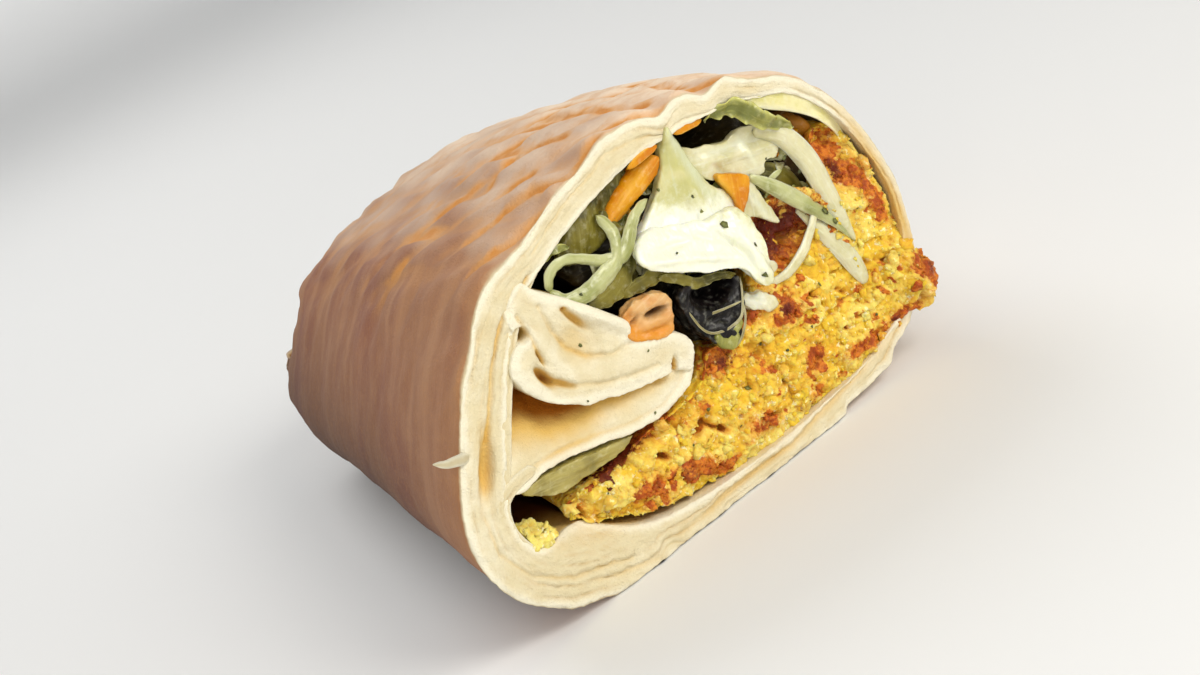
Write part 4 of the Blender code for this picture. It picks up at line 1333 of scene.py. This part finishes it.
# flat pieces of salad: material, slot, replaced node, outline, near, thickness, more
saladSlabs = {
    "cabbageHeart": ("cabbage", "cabbage_slice", ["cabbage_slice"],
        [(8.8, 27.8), (9.9, 24.6), (11.0, 20.4), (12.4, 16.6), (14.0, 15.2), (14.9, 12.4), (14.3, 9.2),
         (13.6, 5.8), (10.4, 5.8), (7.6, 6.4), (4.6, 7.6), (1.4, 9.6), (-1.8, 11.4), (-3.9, 14.2), (-2.4, 16.0),
         (0.6, 17.6), (3.4, 19.8), (5.8, 22.6), (7.0, 25.4)], 0.4, 2.2,
        {"bumps": [(4.0, 12.5, 6.0, 3.4, -28, -1.6), (13.0, 9.0, 1.8, 4.0, 0, -0.9),
                   (-1.0, 14.6, 2.4, 0.7, 20, -0.3), (3.4, 16.4, 4.0, 0.6, 28, 0.35),
                   (8.0, 27.0, 2.0, 2.0, 0, -1.2)],
         "ridges": [([(8.6, 27.6), (8.3, 22.0), (9.2, 16.0), (10.6, 11.0)], 0.26, 0.30, 6.0)],
         "edges": [(10.3, 20.0, 0.9, 7.0, 10, 0.8), (9.0, 26.0, 0.9, 2.0, 0, 0.6),
                   (12.6, 14.4, 1.4, 2.6, 0, 0.5)],
         "sauce": [(3.6, 12.9, 8.6, 4.1, -27, 1.9), (12.4, 8.8, 4.0, 5.0, 0, 1.5)], "wave": 0.22,
         "veins": 78.0}),
    "cabbageBroad": ("whiteCabbage", "cabbage_ribbon", ["cabbage_ribbon"],
        [(10.2, 23.2), (14.0, 21.8), (17.6, 20.6), (20.4, 21.0), (23.4, 20.2), (25.6, 18.6), (26.4, 16.2),
         (24.6, 14.6), (22.8, 14.9), (21.2, 13.6), (18.8, 14.6), (17.0, 15.4), (13.4, 16.6), (11.6, 18.6)],
        2.4, 1.6,
        {"bumps": [(17.0, 18.6, 6.0, 0.7, -16, -0.5), (20.4, 17.4, 0.7, 2.4, 10, -0.5),
                   (15.0, 17.6, 0.6, 2.0, 30, 0.4)],
         "tilt": (0.02, 0.12), "edges": [(17.0, 19.8, 6.0, 0.5, -12, 0.6), (20.4, 17.4, 0.6, 2.4, 10, 0.6)],
         "wave": 0.3,
         "veins": -14.0}),
    "cabbageUnderCarrot": ("whiteCabbage", "cabbage_ribbon", [],
        [(13.6, 12.6), (16.4, 13.8), (18.6, 14.4), (19.6, 11.6), (20.4, 6.4), (18.4, 8.0), (16.4, 9.4),
         (13.6, 10.2)],
        1.7, 1.4,
        {"bumps": [(17.6, 11.6, 0.6, 3.0, 10, -0.5)], "tilt": (0.03, 0.12),
         "edges": [(18.4, 10.0, 0.7, 3.4, 12, 0.7)],
         "wave": 0.25, "veins": 75.0}),
    "carrotUpperSlice": ("carrot", "carrot_upper", ["carrot_upper"],
        [(-5.0, 20.6), (-2.4, 22.6), (1.0, 24.2), (4.6, 25.2), (6.4, 24.2), (5.4, 22.4), (2.6, 21.2),
         (-0.4, 20.2), (-3.2, 19.4)], 1.6, 2.2,
        {"ridges": [([(-4.6, 20.2), (5.8, 24.4)], 0.35, 0.75, 3.0)], "tilt": (-0.12, 0.0), "wave": 0.12,
         "smooth": 1, "edges": [(0.6, 22.6, 6.0, 0.5, 24, 0.7)], "veins": 24.0}),
    "carrotMiddleSlice": ("carrot", "carrot_middle", ["carrot_middle"],
        [(13.4, 17.4), (16.0, 16.6), (18.4, 15.0), (17.4, 12.8), (15.4, 11.0), (14.4, 10.6), (14.6, 13.4)], 0.7,
        1.8,
        {"edges": [(13.6, 15.0, 1.0, 3.0, 0, 0.9)], "wave": 0.15}),
    "pinkLeaf": ("peach", "carrot_lower", ["carrot_lower"],
        [(-10.2, 6.4), (-9.7, 8.6), (-8.0, 9.7), (-5.6, 9.6), (-3.0, 8.8), (-2.1, 7.0), (-2.8, 5.2),
         (-3.6, 3.4), (-5.0, 2.9), (-7.0, 3.9), (-9.2, 4.9)], -0.6, 2.4,
        {"bumps": [(-5.6, 8.3, 3.0, 0.55, -6, -0.45), (-5.2, 5.6, 2.6, 0.5, -10, -0.35),
                   (-8.6, 6.4, 0.7, 2.0, 10, 0.5), (-6.6, 4.9, 3.0, 0.35, -16, 0.5),
                   (-9.4, 8.0, 1.4, 1.6, 0, 0.9)],
         # the hollows push the front back and hold painted shade
         "hollows": [(-4.9, 6.9, 1.75, 0.48, -8, 2.0, 1.6), (-8.4, 7.4, 0.9, 0.22, 30, 0.8, 1.4)],
         "stainAndShade": [(-6.6, 4.4, 3.8, 1.3, -10, 1.3), (-9.2, 6.8, 1.2, 2.0, 0, 0.8)], "wave": 0.3,
         "crinkle": 0.22,
         "smooth": 1, "voxel": 0.26, "veins": 10.0}),
    "cabbageBitLeft": ("whiteCabbage", "cabbage_ribbon", [],
        [(9.2, 1.5), (10.4, 0.7), (12.0, 0.2), (13.6, -1.3), (13.9, -2.6), (12.6, -3.1), (11.2, -2.2),
         (9.6, -1.4), (8.5, 0.2)], -0.4, 1.5,
        {"bumps": [(11.0, -0.8, 2.6, 0.5, -35, -0.5), (12.6, -1.8, 0.5, 1.2, 20, 0.5)], "wave": 0.3,
         "crinkle": 0.25,
         "smooth": 1, "voxel": 0.26, "sauce": [(10.6, -0.4, 2.4, 1.4, -30, 1.0)], "veins": -35.0}),
    "greenLeafUnder": ("underLeaf", "lettuce_under", ["lettuce_under"],
        [(-34.0, -3.4), (-28.0, -3.5), (-21.0, -5.0), (-15.4, -6.2), (-19.0, -7.5), (-24.0, -7.4),
         (-29.0, -7.2), (-31.4, -6.0)], 1.2, 2.0,
        {"far": 20.0, "tilt": (-0.04, -0.25), "wave": 0.3, "veins": -12.0,
         "bumps": [(-24.0, -5.6, 6.0, 0.4, -10, -0.3)]}),
    "oliveLeafBack": ("oliveLeaf", "lettuce_left", [],
        [(-14.0, 19.2), (-11.0, 22.4), (-5.8, 24.4), (0.6, 25.6), (1.6, 23.0), (-3.0, 20.4), (-7.0, 17.6),
         (-12.0, 17.4)],
        3.4, 1.4, {"wave": 0.7, "bumps": [(-8.0, 21.0, 1.0, 3.0, -40, -1.2)]}),
}

# long pieces of salad: material, slot, line, more
saladStrips = {
    "cabbageRibbonRight": ("whiteCabbage", "cabbage_ribbon",
        [(22.6, 19.6, 2.4, 2.0, 20), (26.2, 17.2, 1.2, 3.2, 15), (28.5, 12.8, 0.6, 3.7, 10),
         (29.5, 7.4, 0.3, 3.4, 5), (30.1, 2.4, 0.2, 2.4, 0), (30.8, -2.2, 0.4, 0.6, 0)],
                           {"thick": 0.9, "cup": 0.35, "edgeWidth": 0.2, "taper": 0.6}),
    "cabbageRibbonInner": ("paleLettuce", "cabbage_ribbon",
        [(18.6, 14.6, 1.8, 1.0, 30), (21.0, 11.9, 0.9, 2.2, 20), (24.2, 8.2, 0.6, 2.6, 10),
         (27.0, 4.6, 0.4, 2.0, 0), (29.2, 0.9, 0.2, 1.0, 0), (30.9, -2.4, 0.4, 0.3, 0)],
        {"thick": 0.4, "cup": 0.5, "edgeWidth": 0.25, "wave": 0.35, "taper": 0.5}),
    "cabbageShredLow": ("whiteCabbage", "cabbage_ribbon",
        [(14.4, -0.2, 1.2, 0.8, 0), (17.6, -0.1, 0.2, 1.4, 0), (21.4, 1.2, 0.0, 1.6, 0),
         (25.4, 3.8, 0.8, 1.3, 0), (27.4, 6.0, 1.4, 0.9, 0)],
        {"thick": 0.7, "edgeWidth": 0.3, "cup": 0.3, "taper": 0.4}),
    "cabbageEndLow": ("whiteCabbage", "cabbage_ribbon",
        [(24.4, 6.6, 2.4, 1.2, 0), (26.4, 2.4, 1.2, 2.6, 0), (27.9, -1.2, 0.4, 3.4, 0),
         (28.9, -4.6, -0.1, 3.2, 0), (29.5, -7.2, 0.0, 2.4, 0), (29.8, -8.6, 0.2, 1.4, 0)],
                      {"thick": 0.7, "cup": 0.35, "taper": 0.3}),
    "cabbageBitRight": ("whiteCabbage", "cabbage_ribbon",
        [(13.0, 4.2, 0.4, 1.3, 0), (14.8, 2.6, 0.1, 1.9, 0), (16.8, 1.6, 0.8, 1.2, 0)], {"thick": 1.2}),
    "lettuceBehindRight": ("oliveLeaf", "cabbage_ribbon",
        [(19.0, 14.0, 3.8, 1.6, 10), (22.4, 12.4, 4.2, 4.4, 0), (25.4, 9.0, 4.4, 4.6, 0),
         (26.8, 4.4, 4.2, 2.6, 0)],
        {"thick": 0.7, "wave": 0.5}),
    "lettuceShredRight": ("paleLettuce", "cabbage_ribbon",
        [(20.8, 11.8, 2.4, 0.7, 0), (22.6, 12.6, 1.6, 0.9, 0), (24.6, 12.6, 2.0, 0.7, 0)], {"thick": 0.6}),
    # loops and leaves at the left
    "lettuceLoopUpper": ("paleLettuce", "lettuce_left",
        [(-17.4, 16.6, 1.8, 1.6, 10), (-16.6, 19.0, 0.8, 1.8, 10), (-14.4, 19.8, 0.4, 1.6, 20),
         (-11.4, 18.4, 0.6, 1.5, 20), (-8.6, 16.6, 0.6, 1.8, 10), (-5.6, 15.8, 0.4, 2.2, 0),
         (-3.4, 17.2, 0.6, 2.2, 0), (-1.0, 19.2, 1.2, 1.7, 0), (2.4, 20.0, 2.2, 1.0, 0)],
                         {"thick": 0.55, "cup": 0.4, "ruffle": 0.1, "nodes": ["lettuce_left"]}),
    "lettuceLoopLower": ("paleLettuce", "lettuce_left",
        [(-17.6, 17.2, 1.6, 1.6, 20), (-16.4, 15.0, 0.7, 2.0, 0), (-13.4, 14.3, 0.2, 2.5, 0),
         (-9.6, 14.8, 0.0, 2.9, 0), (-6.2, 16.2, 0.4, 2.3, 0), (-5.0, 19.0, 1.6, 1.9, 0),
         (-6.0, 22.0, 2.6, 1.4, 0)],
        {"thick": 0.6, "cup": 0.4, "ruffle": 0.1}),
    "lettuceEdgeLeft": ("lettuce", "lettuce_left",
        [(-16.8, 20.8, 2.0, 1.0, 0), (-14.6, 21.6, 1.2, 1.2, 0), (-12.2, 20.8, 1.2, 1.0, 0)],
        {"thick": 0.6, "ruffle": 0.3}),
    "lettuceDarkLeft": ("oliveLeaf", "lettuce_left",
        [(-13.4, 12.4, 1.4, 1.6, 0), (-11.0, 12.2, 0.8, 2.6, 0), (-8.0, 12.6, 1.0, 3.2, 0),
         (-5.2, 14.4, 1.6, 3.2, 0), (-4.4, 17.4, 2.2, 2.6, 0), (-5.0, 22.0, 3.0, 2.2, 0)],
                        {"thick": 0.7, "ruffle": 0.4, "edgeWidth": 0.15}),
    "lettuceDarkMiddle": ("oliveLeaf", "lettuce_left",
        [(-9.0, 11.2, 1.6, 1.2, 0), (-5.0, 10.8, 1.2, 2.0, 0), (-1.6, 10.8, 0.4, 2.2, 0),
         (1.0, 9.2, 0.2, 1.6, 0)],
        {"thick": 0.7, "ruffle": 0.35, "edgeWidth": 0.2}),
    # under the top of the wrap
    "lettuceFrill": ("lettuce", "lettuce_top",
        [(15.2, 24.9, 1.0, 1.0, 30), (17.4, 25.3, 0.4, 2.0, 25), (19.8, 24.9, 0.0, 2.9, 25),
         (21.8, 23.2, -0.2, 3.2, 20), (23.4, 21.3, -0.2, 2.9, 20), (26.0, 19.3, 0.2, 2.2, 25),
         (28.8, 17.4, 1.0, 1.2, 30)],
        {"thick": 0.35, "ruffle": 0.55, "ruffles": 3.6, "edgeWidth": 0.45, "wave": 0.5, "spacing": 0.25,
         "nodes": ["lettuce_top"]}),
    "lettuceLining": ("lining", "lettuce_top",
        [(19.0, 26.4, 1.4, 1.2, 0), (22.6, 25.4, 0.9, 2.6, 0), (26.2, 23.3, 0.7, 3.6, 0),
         (30.2, 20.5, 0.8, 3.0, 0), (33.6, 17.3, 1.2, 2.2, 0), (36.0, 13.6, 2.0, 1.5, 0),
         (37.2, 10.6, 3.0, 0.9, 0)],
        {"thick": 0.8, "wave": 0.3, "edgeWidth": 0.5}),
    "carrotUnderTop": ("carrot", "carrot_upper",
        [(0.6, 25.4, 0.8, 0.8, 0), (3.2, 25.9, 0.2, 1.2, 0), (6.6, 26.0, 0.6, 0.9, 0)], {"thick": 0.9}),
    "carrotShredTop": ("carrot", "carrot_upper",
        [(9.6, 26.0, 0.9, 1.3, 0), (12.0, 26.2, 0.6, 1.7, 0), (15.0, 25.4, 1.0, 1.0, 0)], {"thick": 0.7}),
    # the dark leaf's pale veins, and its rim
    "darkLeafVeinLow": ("vein", "dark_leaf",
        [(-0.6, 5.2, -0.6, 0.25, 0), (0.0, 1.8, -1.6, 0.35, 0), (1.4, 0.0, -1.8, 0.35, 0),
         (4.0, -0.7, -1.9, 0.35, 0), (6.6, -0.4, -1.9, 0.4, 0), (8.0, 1.3, -1.6, 0.35, 0),
         (9.6, 4.2, -0.8, 0.25, 0)],
        {"thick": 0.3, "spacing": 0.25, "rows": 12}),
    "darkLeafVeinMiddle": ("vein", "dark_leaf",
        [(-0.2, 3.2, -1.0, 0.2, 0), (2.6, 2.3, -1.2, 0.35, 0), (5.4, 1.7, -1.4, 0.3, 0),
         (8.0, 1.3, -1.6, 0.3, 0)],
        {"thick": 0.3, "spacing": 0.25, "rows": 12}),
    "darkLeafVeinRight": ("vein", "dark_leaf",
        [(3.6, -3.9, -1.4, 0.2, 0), (5.4, -2.8, -1.9, 0.35, 0), (7.2, -0.9, -1.9, 0.35, 0),
         (8.0, 1.3, -1.6, 0.3, 0)],
        {"thick": 0.3, "spacing": 0.25, "rows": 12}),
    "darkLeafRim": ("oliveLeaf", "dark_leaf",
        [(-2.4, 10.6, 0.0, 1.0, 0), (0.4, 9.0, -0.6, 1.5, 0), (2.6, 7.0, -0.6, 1.6, 0),
         (6.0, 6.2, -0.8, 1.1, 0), (9.2, 4.6, -0.6, 0.9, 0)], {"thick": 0.6, "ruffle": 0.3}),
}


# the dark leaf: a bowl, hollow above, its lower side bulging toward the cut, and the green base that it grows from
darkLeafSettings = {
    "outline": [(-1.2, 6.4), (0.4, 7.4), (4.4, 6.8), (8.6, 4.8), (9.6, 3.4), (8.6, 0.8), (6.2, -2.0),
                (4.0, -3.6), (1.8, -2.2), (-0.2, 0.8), (-1.2, 3.6)],
    "near": -1.2, "far": 3.4, "voxel": 0.34, "veins": 30.0,
    "bumps": [(4.6, 4.6, 3.2, 1.7, -14, 5.0, 1.6), (3.0, 1.0, 2.6, 0.5, -10, 0.5),
              (4.0, -1.6, 3.0, 1.8, 0, -0.9)],
    "base": [(1.6, -0.4), (4.2, -0.9), (6.6, -0.6), (6.0, -2.0), (4.0, -3.9), (1.8, -2.6)],
    "baseNear": -2.0, "baseFar": 1.0, "baseVeins": 60.0,
}


def makeDarkLeaf(materials):
    s = darkLeafSettings
    leaf = evenSolid("darkLeafBowl", s["outline"], s["near"], s["far"], s["voxel"], 4)
    spots, normals = getPoints(leaf), getNormals(leaf)
    u, v = spots[:, 0].copy(), spots[:, 1].copy()
    spots[:, 2] += bumpsAt(u, v, s["bumps"])
    placeSolid(leaf, spots + normals * (0.45 * noiseAt(spots, 2.2, 5.0, 3))[:, None])
    setMask(leaf, "edge", np.clip(0.35 * smoothStep(noiseAt(spots * [1, 1, 0.4], 1.0, 8.0), 0.35, 0.5), 0, 1))
    setMask(leaf, "stainAndShade", np.zeros(len(u)))
    fibreMasks(leaf, u, v, s["veins"])
    finishPiece(leaf, materials["darkLeaf"], "dark_leaf", "dark_leaf")
    base = evenSolid("darkLeafGreen", s["base"], s["baseNear"], s["baseFar"], s["voxel"], 5)
    spots, normals = getPoints(base), getNormals(base)
    placeSolid(base, spots + normals * (0.3 * noiseAt(spots, 1.6, 7.0, 2))[:, None])
    for mask in ("edge", "stainAndShade"):
        setMask(base, mask, np.zeros(len(spots)))
    fibreMasks(base, spots[:, 0], spots[:, 1], s["baseVeins"])
    finishPiece(base, materials["lettuce"], "dark_leaf")


# the heap's heart: a dark piece that stands for the shade deep in the heap, and the loose shreds between it and the
# large pieces
saladCore = {
    "outline": [(-15.8, 19.8), (-12.8, 16.2), (-10.0, 11.6), (-8.2, 8.2), (-5.2, 5.6), (-1.0, 4.0), (0.4, -1.6),
                (5.0, -4.0), (9.0, -1.6), (14.0, 0.6), (24.0, 0.4), (29.6, 0.4), (30.6, 6.0), (30.8, 13.4),
                (33.6, 15.4), (27.0, 21.4), (18.0, 24.6), (8.0, 25.6), (-2.0, 25.0), (-11.0, 21.9)],
    "near": 6.6, "far": 96.0, "voxel": 0.7,
    "front": [(17.0, 22.6, 5.0, 3.0, 0, 9.0), (19.0, 4.5, 6.0, 3.5, 0, 3.0), (33.0, 15.6, 4.0, 3.0, -40, -3.2)],
    # a golden-brown patch of painted shade, where the shaded inside of the wall shows beside the heap
    "golden": [(33.0, 15.6, 4.5, 3.6, -40, 0.75)],
    "shreds": 90,
    "kinds": ["lettuce", "oliveLeaf", "paleLettuce", "whiteCabbage", "cabbage", "carrot", "lettuce",
              "oliveLeaf"],
    "rim": 2.6,                # how far the shreds stay from the outline
    "voids": [(17.0, 22.6, 7.5, 3.6), (19.0, 5.0, 6.5, 4.2)],   # no shreds: across, up, half width, half height
}


def inOutline(outline, u, v):
    # whether a spot is inside a closed line, by how often the line crosses the level to its right
    spans = (outline[:-1, 1] > v) != (outline[1:, 1] > v)
    drop = np.where(spans, outline[1:, 1] - outline[:-1, 1], 1.0)
    meets = (outline[1:, 0] - outline[:-1, 0]) * (v - outline[:-1, 1]) / drop + outline[:-1, 0]
    return np.sum(spans & (u < meets)) % 2 == 1


def makeSaladCore(materials):
    s = saladCore
    # a dark piece put where the heap lies in shade
    core = evenSolid("saladHeart", s["outline"], s["near"], s["far"], s["voxel"], 2)
    spots, normals = getPoints(core), getNormals(core)
    rise = 0.9 * noiseAt(spots, 3.0, 2.0, 3)
    u, v = spots[:, 0].copy(), spots[:, 1].copy()
    deep = smoothStep(spots[:, 2], 8.0, 9.5)
    spots[:, 2] = unsqueezed(spots[:, 2])
    spots[:, 2] += bumpsAt(u, v, s["front"]) * (1.0 - deep)
    placeSolid(core, spots + normals * (rise * (1.0 - deep))[:, None])
    setMask(core, "edge", np.zeros(len(spots)))
    # golden painted shade for the shaded inner wall beside the heap
    setMask(core, "stainAndShade", bumpsAt(u, v, s["golden"]) * (1.0 - deep))
    fibreMasks(core, u, v, 0.0)
    finishPiece(core, materials["saladShade"], "salad", "salad")
    print("salad heart made")
    rng = np.random.default_rng(11)
    outline = np.array(smoothPath(s["outline"], 200, closed=True)[0])
    made = 0
    while made < s["shreds"]:
        u, v = rng.uniform(-16, 33), rng.uniform(-3, 25)
        inVoid = any(((u - a) / wide) ** 2 + ((v - b) / tall) ** 2 < 1.0 for a, b, wide, tall in s["voids"])
        toRim = np.min(np.hypot(outline[:, 0] - u, outline[:, 1] - v))
        if inVoid or toRim < s["rim"] or not inOutline(outline, u, v):
            continue
        turn, bend, long = rng.uniform(0, math.pi), rng.normal(0, 0.5), rng.uniform(2.6, 4.4)
        depth = rng.uniform(4.2, 6.6)
        line = []
        for k in range(-2, 3):
            angle = turn + bend * k / 2.0
            line.append((u + math.cos(angle) * long * k / 4.0, v + math.sin(angle) * long * k / 4.0,
                         depth + rng.normal(0, 0.5), rng.uniform(1.2, 2.4), rng.uniform(0, 70)))
        kind = s["kinds"][int(rng.integers(0, len(s["kinds"])))]
        makeStrip("saladShred%02d" % made, materials[kind], "salad", line, thick=0.7, ruffle=0.25, seed=float(made),
                  rows=10, spacing=0.6)
        made += 1
    print("salad shreds made")


# the thick lip of cream sauce on the large slice of cabbage
sauceLip = {
    "outline": [(-4.2, 14.4), (-2.6, 16.2), (0.0, 16.6), (3.0, 15.6), (6.0, 14.6), (9.0, 13.4), (11.6, 13.2),
                (13.8, 12.4), (14.9, 9.4), (14.8, 5.6), (13.4, 2.2), (11.6, 1.6), (10.6, 3.4), (9.8, 5.6),
                (7.4, 6.6), (4.2, 8.0), (0.8, 10.0), (-2.4, 11.6)],
    "near": -1.9, "thick": 1.8, "tilt": (0.02, 0.26), "wave": 0.4, "voxel": 0.26, "smooth": 3, "veins": 78.0,
    "bumps": [(5.0, 9.8, 5.0, 0.6, -28, -0.7), (4.2, 16.2, 11.0, 2.0, -14, 1.3),
              (-1.4, 12.6, 2.4, 0.5, -24, -0.6), (1.6, 13.4, 4.0, 0.4, -14, 0.6),
              (12.6, 6.4, 0.7, 3.6, 8, -0.9), (14.0, 5.0, 0.5, 2.6, 0, 0.6), (9.8, 9.6, 0.5, 3.0, 30, 0.8),
              (11.3, 5.4, 0.4, 3.0, 14, 0.7), (6.6, 12.0, 3.0, 0.5, -40, 0.5)],
    "sauce": [(3.4, 11.8, 8.8, 4.4, -27, 2.0), (12.0, 7.4, 2.4, 4.6, 0, 1.0)],
    "edges": [(13.6, 3.0, 1.2, 2.0, 0, 0.6)],
}

# herb flecks on the face: across, up, size
herbSettings = {
    "places": [(10.4, 12.0, 1.1), (7.8, 6.2, 0.75), (8.0, 17.6, 0.5), (8.3, 15.2, 0.5), (4.2, 20.6, 0.4),
               (-17.2, 9.0, 0.5), (-8.6, 3.2, 0.35), (-20.2, 2.4, 0.3), (-11.6, -4.9, 0.35), (1.4, 12.6, 0.35),
               (13.2, 7.4, 0.6), (12.2, 3.4, 0.7), (27.8, 4.4, 1.1), (28.6, 2.4, 0.8), (24.9, 14.6, 0.6),
               (26.4, 11.6, 0.5), (22.0, 16.0, 0.35), (-14.0, 15.0, 0.4), (-3.4, -9.6, 0.5), (4.0, -11.0, 0.8),
               (22.0, -4.4, 0.6), (12.2, -9.4, 0.45), (-8.0, -12.6, 0.4), (29.0, -13.4, 0.45),
               (35.0, -2.2, 0.5), (17.6, -8.6, 0.4), (-23.0, -10.8, 0.4), (0.2, -14.6, 0.4), (33.2, 2.0, 0.4),
               (9.0, -6.6, 0.4)],
    "greens": (paint(108, 112, 52), paint(62, 68, 30)),
    "scale": 0.62, "lift": 0.08,
    "finish": {"Roughness": 0.5},
    # pieces that a fleck may lie on, by the start of their names
    "liesOn": ("cabbage", "falafelMass", "tongue", "lettuce", "creamSauce", "carrot", "darkLeaf"),
}


def frontAt(tree, u, v):
    # where a line straight into the cut first meets a piece: the spot, and the surface's direction
    start = Vector(placeOnWrap(u, v, -12.0 / wrapShape["length"]))
    end = Vector(placeOnWrap(u, v, 20.0 / wrapShape["length"]))
    return tree.ray_cast(start, (end - start).normalized())[:2]


def makeHerbs():
    s = herbSettings
    points, faces, start = [], [], 0
    for piece in [o for o in bpy.context.scene.objects if o.type == "MESH" and o.name.startswith(s["liesOn"])]:
        spots = getPoints(piece)
        points.append(spots)
        faces += [[i + start for i in polygon.vertices] for polygon in piece.data.polygons]
        start += len(spots)
    tree = BVHTree.FromPolygons(np.concatenate(points).tolist(), faces)
    rng = np.random.default_rng(3)
    shapes = baseLumps(4, 1, 2.0, flat=0.3, rough=0.9)
    places, sizes, turns = [], [], []
    rng.normal(size=(len(s["places"]), 4))     # these draws settle how the flecks lie
    for u, v, size in s["places"]:
        spot, outward = frontAt(tree, u, v)
        if spot is None:
            continue
        turn = np.array(outward.to_track_quat("Z", "Y").to_matrix() @ Matrix.Rotation(rng.uniform(0, 6.28), 3, "Z"))
        places.append(np.array(spot) + np.array(outward) * s["lift"] * mm)
        sizes.append(s["scale"] * size * mm)
        turns.append(turn)
    herbs = scatter("herbFlecks", shapes, places, sizes, turns, rng.integers(0, 4, len(places)), {})
    material, tree, shader = newMaterial("herbs", s["finish"])
    tree.links.new(mixColours(tree, grain(tree, 1.2)[1], *s["greens"]), shader.inputs["Base Color"])
    finishPiece(herbs, material, "salad")
    print("herbs made")


def makeSalad():
    materials = {name: makeLeafMaterial(name) for name in leafKinds}
    makeSaladCore(materials)
    for name, (kind, slot, nodes, outline, near, thick, more) in saladSlabs.items():
        makeSlab(name, materials[kind], slot, outline, near, thick, nodes=nodes, seed=float(len(name)), **more)
    print("salad slices made")
    for name, (kind, slot, line, more) in saladStrips.items():
        makeStrip(name, materials[kind], slot, line, seed=float(len(name)), **more)
    print("salad strips made")
    makeDarkLeaf(materials)
    makeSlab("creamSauceLip", materials["cabbage"], "salad", **sauceLip)
    print("dark leaf and sauce made")
    makeHerbs()


makeCamera()
makeFloor()
makeLights()
makeFlatbread()
makeFalafel()
makeSalad()
